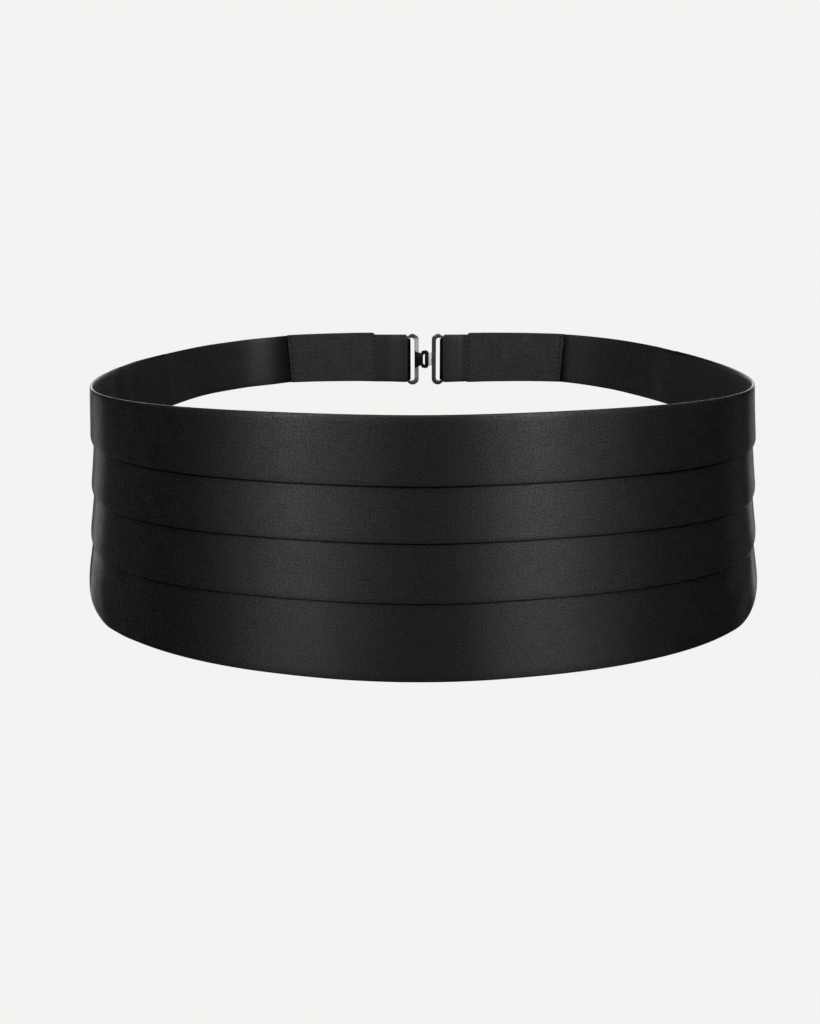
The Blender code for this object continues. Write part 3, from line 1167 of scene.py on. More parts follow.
    def section(self, along: Floats) -> tuple[Floats, Floats, Floats]:
        """The cloth's middle at each station, from inside the top edge to inside the bottom.

        Args:
            along: Places round the waist.

        Returns:
            The points' distances out and their depths, shaped (stations, points), and how
            much shade is painted on each row of points, from 0 to 1.
        """
        form = self.form
        half_cloth = self.cloth / 2
        top = form.top_depth(along)
        size = (self.middle(along, top) - self.top_lean - self.top_inside) / 2
        inside = np.full_like(along, self.top_inside)
        rows = [Row(inside, top + self.turned_in * share) for share in self.top_hem_shares]
        start = top + size + half_cloth
        rows += self.turn(self.top_inside + size, start, size, -math.pi, False)
        for number, edge in enumerate(form.folds):
            fold = form.fold_depth(edge, along)
            rows += self.pleat(along, start, fold, number == 0)
            start = fold
        bottom = form.fold_depth(form.bottom, along)
        inside = form.stand_out(along, bottom, form.backing_out, form.backing_end_out)
        inside = inside + self.bottom_inside + half_cloth
        size = np.maximum((self.middle(along, bottom) - inside) / 2, half_cloth)
        face_end = bottom - size - half_cloth
        rows += self.band(along, start, face_end, 2 * self.pitch, True)
        end_out = self.middle(along, face_end)
        rows += self.turn(end_out - size, face_end, size, 0.0, False)
        for share in self.bottom_hem_shares:
            rows.append(Row(end_out - 2 * size, face_end - self.turned_in * share))
        outs, depths, painted_shade = zip(*rows)
        return np.stack(outs, axis=1), np.stack(depths, axis=1), np.array(painted_shade)

    def build(self) -> Object:
        """The front, laid, given its thickness and dressed.

        Returns:
            The finished piece.
        """
        form = self.form
        along = form.stations()
        last = form.half - np.array(self.end_shares) * self.end_turn
        along = np.unique(np.concatenate([along, last, -last]))
        out, depth, painted_shade = self.section(along)
        into_end = np.clip((np.abs(along) - form.half + self.end_turn) / self.end_turn, 0.0, 1.0)
        curl = (1.0 - np.sqrt(1.0 - into_end**2))[:, None]
        out = out + (self.end_out - out) * curl
        # The painted shade in the fold lines fades out round the sides, short of the panel's ends.
        fade = 1.0 - smoothstep((np.abs(along) - self.painted_shade_reach) / self.painted_shade_fade)
        marks = fade[:, None] * painted_shade
        piece, lengths = form.laid(self.name, along, out, depth, self.cloth, marks)
        wear(piece, FRONT_SATIN, ["pleated_front"])
        return piece


@dataclass
class Backing:
    """The plain cloth behind the pleats."""

    form: PanelForm
    name: str = "backing_lining"
    cloth: float = 0.34
    shorter: float = 1.5
    rows: int = 44
    edge_shares: tuple[float, ...] = (0.004, 0.010, 0.990, 0.996)
    edge_curl: float = 0.14
    edge_reach: float = 1.2

    def build(self) -> Object:
        """The backing, laid, given its thickness and dressed.

        Returns:
            The finished piece.
        """
        form = self.form
        along = form.stations()
        bottom = form.fold_depth(form.bottom, along) - self.shorter
        share = np.unique(np.concatenate([np.linspace(0.0, 1.0, self.rows), self.edge_shares]))
        top = self.shorter + form.top_depth(along)
        depth = top[:, None] + (bottom - top)[:, None] * share[None, :]
        out = form.stand_out(along[:, None], depth, form.backing_out, form.backing_end_out)
        from_edge = np.minimum(depth - top[:, None], bottom[:, None] - depth)
        out = out + self.edge_curl * np.clip(1.0 - from_edge / self.edge_reach, 0.0, 1.0) ** 2
        piece, lengths = form.laid(self.name, along, out, depth, self.cloth)
        wear(piece, BACKING_TWILL, ["front_backing"])
        return piece


class StrapSection(NamedTuple):
    """The top and bottom edges of both straps at one place round the waist."""

    along: float
    left_top: float
    left_bottom: float
    right_top: float
    right_bottom: float


class TabEdges(NamedTuple):
    """A facing tab's ends, from the back centre, its edges' depths and the shade painted on its strap.
    """

    inner_end: float
    outer_end_top: float
    outer_end_bottom: float
    inner_top: float
    outer_top: float
    inner_bottom: float
    outer_bottom: float
    tab_shade_length: float
    tab_shade_strength: float
    start_shade_strength: float

    @property
    def length(self) -> float:
        """The tab's length at its top."""
        return self.outer_end_top - self.inner_end

    @property
    def height(self) -> float:
        """The tab's height at its inner end."""
        return self.inner_bottom - self.inner_top


STRAP_SECTIONS = (
    StrapSection(281, 0.4, 32.6, 0.0, 33.0),
    StrapSection(300, 0.6, 31.9, -0.2, 32.8),
    StrapSection(332, 0.6, 31.5, -0.5, 31.7),
    StrapSection(360, -0.1, 30.9, -0.7, 30.8),
    StrapSection(392, 0.2, 31.1, 0.2, 31.2),
    StrapSection(425, 0.5, 31.6, 0.7, 31.9),
    StrapSection(457, 0.8, 32.0, 1.0, 32.2),
)
TAB_EDGES = {
    Side.LEFT: TabEdges(
        inner_end=29.2, outer_end_top=86.6, outer_end_bottom=84.9,
        inner_top=-1.1, outer_top=-0.8, inner_bottom=31.4, outer_bottom=30.6,
        tab_shade_length=15.0, tab_shade_strength=0.55, start_shade_strength=0.0,
    ),
    Side.RIGHT: TabEdges(
        inner_end=31.8, outer_end_top=95.0, outer_end_bottom=93.5,
        inner_top=-0.7, outer_top=-1.2, inner_bottom=32.2, outer_bottom=30.4,
        tab_shade_length=7.0, tab_shade_strength=0.9, start_shade_strength=0.34,
    ),
}


@dataclass(frozen=True)
class ClaspSizes:
    """The clasp's flat sizes and the X of its edges, at the middle of the back."""

    depth: float = 16.9
    out: float = -1.3
    height: float = 34.0
    width: float = 8.2
    cloth_bar: float = 1.4
    hook_bar: float = 2.8
    plate: float = 1.0
    left_x: float = -8.5
    right_x: float = 8.3

    @property
    def slot_width(self) -> float:
        """The width of each ring's opening."""
        return self.width - self.cloth_bar - self.hook_bar

    def fold_from_back(self, side: Side) -> float:
        """Where a strap turns round its bar.

        Args:
            side: The strap's side.

        Returns:
            The distance from the back centre.
        """
        if side is Side.LEFT:
            bar_edge = -self.left_x - self.cloth_bar
        else:
            bar_edge = self.right_x + self.width - self.cloth_bar
        return bar_edge + self.plate / 3


@dataclass
class Strap:
    """One ribbon: from the panel's end, through its ring and back to its tab."""

    waist: WaistLine
    clasp: ClaspSizes
    side: Side
    creases: tuple[Crease, ...]
    start: float = 278.5
    start_taper: float = 3.0
    half_thick: float = 0.44
    thin_half: float = 0.24
    cloth: float = 0.26
    step: float = 1.5
    face_points: int = 9
    edge_points: int = 5
    turn_radius: float = 1.4
    turn_reach: float = 2.4
    turn_steps: int = 14
    spread_length: float = 9.0
    back_spread: float = 15.0
    spread_steps: int = 12
    return_steps: int = 9
    return_out: float = -1.3
    tucked_out: float = -1.0
    tucked_in: float = 3.2
    tuck_length: float = 4.5
    gather_length: float = 0.8
    slot_half: float = 13.6
    crease_fade: float = 6.0
    # Painted shade on the ribbon: how much over its return run and round its turn, where the turn's
    # shade starts and how far it reaches, how far the tab's shade reaches under the tab, and how far
    # the shade at its start reaches.
    end_press: float = 0.2
    turn_painted_shade: float = 0.9
    turn_mark_start: float = 0.3
    turn_mark: float = 1.2
    tab_shade_under: float = 4.0
    start_shade_length: float = 30.0

    def route(self) -> tuple[Floats, Floats]:
        """The ribbon's middle line.

        Returns:
            Its distances from the back centre, and its distances out of the waist line.
        """
        tab = TAB_EDGES[self.side]
        fold = self.clasp.fold_from_back(self.side) + self.turn_reach - self.turn_radius
        spread_end = fold + self.spread_length
        near_out = self.clasp.out + self.turn_radius
        far_out = self.clasp.out - self.turn_radius
        begin = self.waist.half - self.start
        count = int(round((begin - spread_end) / self.step))
        run = np.linspace(begin, spread_end, count, endpoint=False)
        share = np.linspace(0.0, 1.0, self.spread_steps, endpoint=False)
        angle = np.linspace(0.0, math.pi, self.turn_steps + 1)
        end = tab.inner_end + self.tucked_in
        back_end = fold + self.back_spread
        rest = np.linspace(back_end, end, self.return_steps + 1)[1:]
        tuck = smoothstep((rest - tab.inner_end + self.tuck_length - self.tucked_in) / self.tuck_length)
        back_share = share[1:]
        back_out = far_out + (self.return_out - far_out) * smoothstep(back_share)
        stretches = (
            (run, np.zeros_like(run)),
            (spread_end - self.spread_length * share, near_out * smoothstep(share)),
            (fold - self.turn_reach * np.sin(angle), self.clasp.out + self.turn_radius * np.cos(angle)),
            (fold + self.back_spread * back_share, back_out),
            ([back_end], [self.return_out]),
            (rest, self.return_out + (self.tucked_out - self.return_out) * tuck),
        )
        from_back, out = (np.concatenate(parts) for parts in zip(*stretches))
        return from_back, out

    def edge(self, name: str, along: Floats) -> Floats:
        """One edge's depth, on a curve with no corners at the table's rows.

        Args:
            name: "top" or "bottom".
            along: Distances round from the front centre.

        Returns:
            The depth at each place.
        """
        places = np.array([row.along for row in STRAP_SECTIONS], float)
        column = f"{self.side.word}_{name}"
        values = np.array([getattr(row, column) for row in STRAP_SECTIONS], float)
        slopes = np.gradient(values, places)
        left = np.clip(np.searchsorted(places, along) - 1, 0, len(places) - 2)
        span = places[left + 1] - places[left]
        share = np.clip((along - places[left]) / span, 0.0, 1.0)
        rise = smoothstep(share)
        even = values[left] * (1.0 - rise) + values[left + 1] * rise
        leaving = (share**3 - 2 * share**2 + share) * span * slopes[left]
        arriving = (share**3 - share**2) * span * slopes[left + 1]
        return even + leaving + arriving

    def loop(self) -> tuple[Floats, Floats, Floats]:
        """Once round the flat tube, as shares of its height, and steps of its half thickness.

        Returns:
            Each point's share of the height, step down and step outwards.
        """
        faces = np.linspace(0.0, 1.0, self.face_points)
        angle = np.linspace(0.0, math.pi, self.edge_points + 2)[1:-1]
        ones, zeros = np.ones_like(faces), np.zeros_like(faces)
        share = np.concatenate([faces, np.ones_like(angle), faces[::-1], np.zeros_like(angle), [0.0]])
        down = np.concatenate([zeros, np.sin(angle), zeros, -np.sin(angle), [0.0]])
        outwards = np.concatenate([ones, np.cos(angle), -ones, -np.cos(angle), [1.0]])
        return share, down, outwards

    def painted_shade(self, from_back: Floats, out: Floats, across: Floats) -> Floats:
        """Where shade is painted on the ribbon: at both its ends, at its turn and beside the tab.

        Args:
            from_back: The rows' distances from the back centre.
            out: The rows' distances out of the waist line.
            across: Each point's place through the tube, from 1 outside to -1 inside.

        Returns:
            How much shade is painted at each point.
        """
        tab = TAB_EDGES[self.side]
        fold = self.clasp.fold_from_back(self.side)
        turn_start = fold + self.turn_mark_start * self.turn_reach
        turn = self.turn_painted_shade * smoothstep((turn_start - from_back) / self.turn_mark)
        # Shade painted over the whole return run, from the ring to the tab.
        end = np.where(out < self.clasp.out / 2, self.end_press, 0.0)
        # Shade painted on the inner face beside the tab's outer end, and near the ribbon's start.
        before = (from_back - tab.outer_end_bottom) / tab.tab_shade_length
        beside = smoothstep(1.0 - before) * smoothstep(1.0 + before * tab.tab_shade_length / self.tab_shade_under)
        from_start = self.waist.half - self.start - from_back
        at_start = tab.start_shade_strength * (1.0 - smoothstep(from_start / self.start_shade_length))
        beside = np.maximum(tab.tab_shade_strength * beside, at_start)
        beside = np.where(out > self.clasp.out / 2, beside, 0.0)
        rows = np.maximum(turn, end)[:, None]
        return np.maximum(rows, beside[:, None] * np.where(across < 0.0, 1.0, 0.0))

    def build(self) -> Object:
        """The ribbon as a pressed tube of cloth.

        Returns:
            The finished piece.
        """
        tab = TAB_EDGES[self.side]
        from_back, out = self.route()
        along = self.waist.half - from_back
        top, bottom = self.edge("top", along), self.edge("bottom", along)
        fold = self.clasp.fold_from_back(self.side)
        gather = smoothstep((fold + self.gather_length - from_back) / self.gather_length)
        top = top + (self.clasp.depth - self.slot_half - top) * gather
        bottom = bottom + (self.clasp.depth + self.slot_half - bottom) * gather
        first = smoothstep((along - self.start) / self.start_taper)
        full = np.where(out >= 0.0, first, 1.0)
        thick = self.thin_half + (self.half_thick - self.thin_half) * full
        tucked = (out < self.clasp.out / 2) & (from_back > tab.inner_end - self.tuck_length)
        thick = np.where(tucked, self.thin_half, thick)
        centre = self.waist.place(self.side.value * along, out, 0.0)[:, :2]
        heading = np.gradient(centre, axis=0)
        heading /= np.linalg.norm(heading, axis=1, keepdims=True)
        outwards = np.stack([heading[:, 1], -heading[:, 0]], axis=1) * self.side.value
        share, down, across = self.loop()
        height = (bottom - top - 2 * thick)[:, None]
        depth = (top + thick)[:, None] + share * height + down * thick[:, None]
        fade = smoothstep((from_back - fold - self.spread_length) / self.crease_fade)[:, None]
        fade = fade * (out > self.clasp.out / 2)[:, None]
        lift = crease_field(self.creases, along[:, None], depth) * fade
        offset = (across * thick[:, None] + lift) * MM
        planes = centre[:, None, :] + outwards[:, None, :] * offset[..., None]
        level = (self.waist.top_edge_z - depth)[..., None] * MM
        places = np.concatenate([planes, level], axis=-1)
        steps = np.linalg.norm(np.diff(centre, axis=0), axis=1)
        length = np.concatenate([[0.0], np.cumsum(steps)])
        round_loop = flat_lengths(across * thick[:, None], depth) * MM
        flat = np.stack([np.broadcast_to(length[:, None], depth.shape), round_loop], axis=-1)
        piece = lay_cloth(f"strap_ribbon_{self.side.word}", places, flat)
        # Shade is painted on the ribbon round its turn, over its return and beside its tab.
        store_painted_shade(piece, self.painted_shade(from_back, out, across))
        close_seams(piece)
        finish_with(piece, "SOLIDIFY", thickness=self.cloth * MM, offset=-1.0)
        shade(piece)
        wear(piece, STRAP_SATIN, [f"strap_{self.side.word}"])
        return piece


class Seam(NamedTuple):
    """A row of stitches across a tab: its distance in from an end, and each stitch's size."""

    from_inner_end: bool
    inset: float
    count: int
    length: float
    thickness: float
    tilt: float


@dataclass
class FacingTab:
    """The facing sewn over a strap's end on the inside of the loop, with its stitches."""

    waist: WaistLine
    side: Side
    half_thick: float = 0.38
    edge_round: float = 0.7
    corner: float = 2.0
    step: float = 0.65
    lap_out: float = -1.72
    lap_length: float = 4.0
    lap_fall: float = 7.0
    middle_out: float = -1.28
    outer_out: float = -0.92
    groove: float = 0.10
    groove_width: float = 0.6
    dimple: float = 0.34
    dimple_size: float = 1.0
    corner_rise: float = 0.8
    least_thick: float = 0.04
    edge_shares: tuple[float, ...] = (0.05, 0.15, 0.3, 0.5, 0.75)
    stitch_sunk_from: float = 0.3
    stitch_sink: float = 0.12
    stitch_end: float = 0.7
    stitch_rise: float = 0.6
    # Each is how far it goes and how fast it changes from stitch to stitch.
    stitch_drift: tuple[float, float] = (0.004, 2.7)
    stitch_turn: tuple[float, float] = (5.0, 1.9)
    look_down: float = 0.01
    seams: tuple[Seam, ...] = (
        Seam(True, 0.9, 10, 1.7, 0.65, 62.0),
        Seam(False, 1.9, 9, 1.9, 0.80, 14.0),
    )
    stitch_margin: float = 2.2

    @property
    def edges(self) -> TabEdges:
        """This side's sizes."""
        return TAB_EDGES[self.side]

    def length_at(self, down: Floats) -> Floats:
        """The length at a share of the height, as the outer end is cut on a slant."""
        slant = self.edges.outer_end_bottom - self.edges.outer_end_top
        return self.edges.length + slant * down

    def lay(self, inwards: Floats, down: Floats, out: Floats) -> Floats:
        """Places on the tab, with its rounded corner.

        Args:
            inwards: Shares of the length, from the inner end.
            down: Shares of the height.
            out: Distances out of the waist line.

        Returns:
            Points in metres.
        """
        edges = self.edges
        from_end = self.length_at(down) * inwards
        into = np.clip(1.0 - from_end / self.corner, 0.0, 1.0)
        top = edges.inner_top + (edges.outer_top - edges.inner_top) * inwards
        top = top + self.corner * (1.0 - np.sqrt(1.0 - into**2)) * self.corner_rise
        bottom = edges.inner_bottom + (edges.outer_bottom - edges.inner_bottom) * inwards
        along = self.side.value * (self.waist.half - edges.inner_end - from_end)
        return self.waist.place(along, out, top + (bottom - top) * down)

    def lie(self, from_end: Floats) -> Floats:
        """Where the tab's middle lies.

        Args:
            from_end: Distances from the tab's inner end.

        Returns:
            Distances out of the waist line.
        """
        falling = smoothstep((from_end - self.lap_length) / self.lap_fall)
        settled = smoothstep(from_end / self.edges.length)
        rest = self.middle_out + (self.outer_out - self.middle_out) * settled
        return self.lap_out + (rest - self.lap_out) * falling

    def seam_place(self, seam: Seam, down: Floats) -> Floats:
        """A seam's distance from the tab's inner end, at shares of the height."""
        length = self.length_at(down)
        return np.full_like(down, seam.inset) if seam.from_inner_end else length - seam.inset

    def stitch_shares(self, seam: Seam) -> Floats:
        """Where a seam's stitches lie.

        Args:
            seam: The seam.

        Returns:
            Their places down the tab, as shares of its height.
        """
        margin = self.stitch_margin / self.edges.height
        drift, rate = self.stitch_drift
        even = np.linspace(margin, 1.0 - margin, seam.count)
        return even + drift * np.sin(np.arange(seam.count) * rate)

    def pull(self, inwards: Floats, down: Floats) -> Floats:
        """How far the seams pull the facing in.

        Args:
            inwards: Shares of the length, from the inner end.
            down: Shares of the height.

        Returns:
            The pull in millimetres.
        """
        from_end = self.length_at(down) * inwards
        pulled = np.zeros_like(from_end)
        for seam in self.seams:
            beside = from_end - self.seam_place(seam, down)
            pulled += self.groove * np.exp(-((beside / self.groove_width) ** 2))
            for share in self.stitch_shares(seam):
                below = (down - share) * self.edges.height
                reach = (beside**2 + below**2) / self.dimple_size**2
                pulled += self.dimple * np.exp(-reach)
        return pulled

    def shares(self, length: float) -> Floats:
        """Even steps over a length, with close ones at both ends for the rounded edge.

        Args:
            length: The length in millimetres.

        Returns:
            The steps, as shares of the length.
        """
        count = int(round(length / self.step))
        close = np.array(self.edge_shares) * self.edge_round / length
        return np.unique(np.concatenate([np.linspace(0.0, 1.0, count + 1), close, 1.0 - close]))

    def sheet_places(self, facing: int) -> tuple[Floats, Floats]:
        """One face of the tab.

        Args:
            facing: -1 for the face on the inside of the loop, 1 for the one on the strap.

        Returns:
            Its points in metres and their places on the flat cut.
        """
        length, height = self.edges.length, self.edges.height
        inwards, down = np.meshgrid(self.shares(length), self.shares(height), indexing="ij")
        from_end = self.length_at(down) * inwards
        ends = [from_end, (1.0 - inwards) * length, down * height, (1.0 - down) * height]
        near = np.minimum.reduce(ends)
        into = np.clip(1.0 - near / self.edge_round, 0.0, 1.0)
        thick = self.half_thick * np.sqrt(1.0 - into**2)
        thick = np.maximum(thick - (self.pull(inwards, down) if facing < 0 else 0.0), 0.0)
        thick = np.where(near <= 0.0, 0.0, np.maximum(thick, self.least_thick))
        places = self.lay(inwards, down, self.lie(from_end) + facing * thick)
        return places, np.stack([inwards * length, down * height], axis=-1) * MM

    def stitch(self, seam: Seam) -> Object:
        """One stitch at the origin, lying along X, its ends sunk towards -Z.

        Args:
            seam: The row that it belongs to.

        Returns:
            The stitch.
        """
        bead = {"segments": 10, "ring_count": 8, "radius": MM / 2}
        piece = added("stitch", bpy.ops.mesh.primitive_uv_sphere_add, **bead)
        piece.rotation_euler = (0.0, math.pi / 2, 0.0)
        settle(piece)
        piece.scale = (seam.length, seam.thickness, seam.thickness)
        settle(piece)
        sunk_from = seam.length * self.stitch_sunk_from * MM
        for end in (-1, 1):
            with editing(piece, lambda co, end=end: co.x * end > sunk_from):
                bpy.ops.transform.translate(value=(0.0, 0.0, -self.stitch_sink * MM))
                bpy.ops.transform.resize(value=(1.0, self.stitch_end, self.stitch_end))
        piece.data.uv_layers[0].name = WEAVE_MAP
        return piece

    def sew(self, seam: Seam) -> list[Object]:
        """A row of stitches laid on the tab's inner face.

        Args:
            seam: The row.

        Returns:
            The stitches, each with its own mesh.
        """
        pattern = self.stitch(seam)
        turn, rate = self.stitch_turn
        made = []
        for number, share in enumerate(self.stitch_shares(seam)):
            down = np.array([share, share + self.look_down])
            from_end = self.seam_place(seam, down)
            inwards = from_end / self.length_at(down)
            out = self.lie(from_end) - self.half_thick + self.groove * self.stitch_rise
            here, below = (Vector(place) for place in self.lay(inwards, down, out))
            beyond = Vector(self.lay(inwards, down, out - 1.0)[0])
            face = (beyond - here).normalized()
            run = (below - here).normalized()
            tilt = math.radians(seam.tilt + turn * math.sin(number * rate))
            run = Matrix.Rotation(tilt, 3, face) @ run
            beside = face.cross(run).normalized()
            copy = pattern.copy()
            copy.data = pattern.data.copy()
            bpy.context.scene.collection.objects.link(copy)
            axes = Matrix((run, beside, face)).transposed().to_4x4()
            copy.matrix_world = Matrix.Translation(here) @ axes
            settle(copy)
            made.append(copy)
        bpy.data.objects.remove(pattern)
        return made

    def build(self) -> list[Object]:
        """The tab and its stitches, dressed.

        Returns:
            The facing and the stitches, as two pieces.
        """
        word = self.side.word
        faces = [lay_cloth(f"tab_face_{facing}", *self.sheet_places(facing)) for facing in (-1, 1)]
        piece = joined(f"tab_facing_{word}", faces)
        close_seams(piece)
        shade(piece)
        wear(piece, TAB_FACING, [f"end_tab_{word}"])
        stitches = [stitch for seam in self.seams for stitch in self.sew(seam)]
        thread = joined(f"tab_stitches_{word}", stitches)
        face_outwards(thread)
        shade(thread)
        wear(thread, SEWING_THREAD)
        return [piece, thread]


@dataclass
class Clasp:
    """The hook clasp: two flat rings, an eye on a tongue, and a hook through the eye."""

    waist: WaistLine
    sizes: ClaspSizes
    round_sides: int = 48
    edge_round: float = 0.42
    edge_segments: int = 4
    peak_cap: float = 0.48
    peak_height: float = 0.76
    peak_steps: tuple[tuple[float, float], ...] = ((0.8, 0.07), (0.55, 0.08), (0.3, 0.08), (0.1, 0.05))
    eye_cap: float = 0.6
    tongue_plate: float = 1.5
    tongue_root: float = -2.9
    tongue_root_height: float = 11.3
    tongue_tip_height: float = 7.6
    eye_x: float = 1.3
    eye_width: float = 4.9
    eye_height: float = 11.9
    eye_plate: float = 1.1
    slot_x: float = 2.6
    slot_width: float = 2.4
    slot_height: float = 6.9
    hook_plate: float = 0.7
    hook_root_height: float = 8.7
    hook_tip_height: float = 6.6
    hook_tip_plate: float = 1.1
    hook_clearance: float = 0.2
    hook_tip_run: float = 0.7
    hook_joggle: float = 1.2
    hook_turn_steps: int = 5
    hook_bend: float = 0.8
    strip_inset: float = 0.8
    tip_inset: float = 0.6
    plate_start: float = 0.4
    tongue_tip_plate: float = 0.9
    tongue_round: float = 0.7
    plate_round: float = 0.3
    round_from: float = 50.0

    @property
    def centre(self) -> Vector:
        """The clasp's middle, in metres."""
        return Vector(self.waist.place(self.waist.half, self.sizes.out, self.sizes.depth))

    def outline(
        self, left: float, width: float, height: float, cap: float = 1.0, peaked: bool = False
    ) -> Object:
        """A slot-shaped outline: a circle whose upper and lower halves are drawn apart.

        Args:
            left: The X of its left edge.
            width: Its width.
            height: Its height.
            cap: The height of its round ends, as a share of half the width.
            peaked: Whether the upper end comes to a low peak.

        Returns:
            A piece of edges in the clasp's plane.
        """
        centre = self.centre
        middle = Vector((centre.x + (left + width / 2) * MM, centre.y, centre.z))
        circle = {"vertices": self.round_sides, "radius": width / 2 * MM, "rotation": UPRIGHT}
        piece = added("outline", bpy.ops.mesh.primitive_circle_add, location=middle, **circle)
        settle(piece)
        for way in (1, -1):
            flatter = self.peak_cap if peaked and way > 0 else cap
            lift = (height - width * (self.peak_height if peaked and way > 0 else cap)) / 2
            with editing(piece, lambda co, way=way: (co.z - centre.z) * way > SEAM_MERGE):
                bpy.ops.transform.resize(value=(1.0, 1.0, flatter), center_override=centre)
                bpy.ops.transform.translate(value=(0.0, 0.0, way * lift * MM))
        if peaked:
            for reach, rise in self.peak_steps:
                near = reach * width / 2 * MM
                with editing(piece, lambda co: co.z > centre.z and abs(co.x - middle.x) < near):
                    bpy.ops.transform.translate(value=(0.0, 0.0, rise * width / 2 * MM))
        return piece

    def ring(self, name: str, outer: Object, opening: Object, plate: float) -> Object:
        """A flat ring between two outlines, with rounded edges.

        Args:
            name: The piece's name.
            outer: Its outer outline.
            opening: The outline of its opening.
            plate: Its thickness.

        Returns:
            The ring.
        """
        piece = joined(name, [outer, opening])
        with editing(piece):
            bpy.ops.mesh.bridge_edge_loops()
            bpy.ops.mesh.select_all(action="SELECT")
            bpy.ops.transform.translate(value=(0.0, -plate / 2 * MM, 0.0))
            bpy.ops.mesh.extrude_region_move(TRANSFORM_OT_translate={"value": (0.0, plate * MM, 0.0)})
        close_seams(piece)
        self.round_edges(piece, self.edge_round)
        return piece

    def round_edges(self, piece: Object, size: float) -> None:
        """Rounds every sharp edge of a plate.

        Args:
            piece: The plate.
            size: How far the rounding reaches.
        """
        sharp = {"limit_method": "ANGLE", "angle_limit": math.radians(self.round_from)}
        finish_with(piece, "BEVEL", width=size * MM, segments=self.edge_segments, **sharp)
        shade(piece)

    def strap_ring(self, side: Side) -> Object:
        """One of the two rings.

        Args:
            side: The strap that it holds.

        Returns:
            The ring, dressed.
        """
        sizes = self.sizes
        if side is Side.LEFT:
            left, opening = sizes.left_x, sizes.left_x + sizes.cloth_bar
        else:
            left, opening = sizes.right_x, sizes.right_x + sizes.hook_bar
        outer = self.outline(left, sizes.width, sizes.height, peaked=True)
        inner = self.outline(opening, sizes.slot_width, sizes.height - 2 * sizes.hook_bar)
        piece = self.ring(f"ring_plate_{side.word}", outer, inner, sizes.plate)
        # The left ring carries a painted highlight; the right one is plain black nickel.
        finish = NICKEL_WITH_PAINTED_HIGHLIGHT if side is Side.LEFT else BLACK_NICKEL
        return wear(piece, finish, [f"clasp_ring_{side.word}"])

    def eye(self) -> Object:
        """The eye that the hook catches.

        Returns:
            The eye, dressed.
        """
        outer = self.outline(self.eye_x, self.eye_width, self.eye_height, self.eye_cap)
        inner = self.outline(self.slot_x, self.slot_width, self.slot_height)
        piece = self.ring("hook_eye", outer, inner, self.eye_plate)
        return wear(piece, BLACK_ENAMEL_AND_PAINTED_SHADE)

    def tongue(self) -> Object:
        """The tongue between the left ring and the eye: a block that narrows to its tip.

        Returns:
            The tongue, dressed.
        """
        centre = self.centre
        tip = self.slot_x - (self.slot_x - self.eye_x) / 2
        middle = Vector((centre.x + (self.tongue_root + tip) / 2 * MM, centre.y, centre.z))
        size = Vector((tip - self.tongue_root, self.tongue_plate, self.tongue_root_height)) * MM
        cube = {"size": 1.0, "location": middle, "scale": size}
        piece = added("eye_tongue", bpy.ops.mesh.primitive_cube_add, **cube)
        settle(piece)
        thin = self.eye_plate * self.tongue_tip_plate / self.tongue_plate
        narrow = self.tongue_tip_height / self.tongue_root_height
        with editing(piece, lambda co: co.x > middle.x):
            bpy.ops.transform.resize(value=(1.0, thin, narrow), center_override=centre)
        self.round_edges(piece, self.edge_round * self.tongue_round)
        return wear(piece, BLACK_ENAMEL_AND_PAINTED_SHADE)

    def hook_routes(self) -> tuple[Route, Route]:
        """The middle lines of the hook's strip and of its tip.

        Returns:
            For each: X, distance out of the clasp's plane, and height, from step to step.
        """
        run = self.eye_plate / 2 + self.hook_clearance + self.hook_plate / 2
        root = self.sizes.right_x + self.sizes.hook_bar / 2
        slot_end = self.slot_x + self.slot_width
        through = slot_end - self.hook_clearance - self.hook_tip_plate / 2
        eye_end = self.eye_x + self.eye_width
        route = [
            (root, self.sizes.plate / 4, self.hook_root_height),
            (root - self.hook_joggle, run, self.hook_root_height),
            (eye_end, run, self.hook_root_height),
            (eye_end - self.strip_inset, run, self.hook_tip_height),
        ]
        bend = run * self.hook_bend
        tip = [(eye_end - self.tip_inset, run, self.hook_tip_height)]
        for way in (1, -1):
            steps = np.linspace(0.0, math.pi / 2, self.hook_turn_steps)
            for angle in steps if way > 0 else steps[::-1]:
                x = through + bend * (1.0 - math.sin(angle))
                tip.append((x, way * (run - bend * (1.0 - math.cos(angle))), self.hook_tip_height))
        tip.append((through + bend + self.hook_tip_run, -run, self.hook_tip_height))
        return route, tip

    def bent_plate(self, name: str, route: Route, plate: float, finish: MetalFinish) -> Object:
        """A bent plate: an edge extruded along its route, given its thickness and rounded.

        Args:
            name: The piece's name.
            route: Its middle line, from step to step.
            plate: Its thickness.
            finish: Its finish.

        Returns:
            The plate, dressed.
        """
        centre = self.centre
        x, out, height = route[0]
        start = (centre.x + (x + self.plate_start / 2) * MM, centre.y + out * MM, centre.z)
        square = {"size": 1.0, "location": start, "rotation": UPRIGHT}
        piece = added(name, bpy.ops.mesh.primitive_plane_add, **square)
        piece.scale = (self.plate_start * MM, height * MM, 1.0)
        settle(piece)
        edge_x = centre.x + (x + self.plate_start / 4) * MM
        with editing(piece, lambda co: co.x < edge_x):
            for (x0, out0, height0), (x1, out1, height1) in zip(route[:-1], route[1:]):
                step = ((x1 - x0) * MM, (out1 - out0) * MM, 0.0)
                taper = (1.0, 1.0, height1 / height0)
                bpy.ops.mesh.extrude_region_move(TRANSFORM_OT_translate={"value": step})
                bpy.ops.transform.resize(value=taper, center_override=centre)
        finish_with(piece, "SOLIDIFY", thickness=plate * MM, offset=0.0, use_even_offset=True)
        close_seams(piece)
        self.round_edges(piece, plate * self.plate_round)
        return wear(piece, finish)

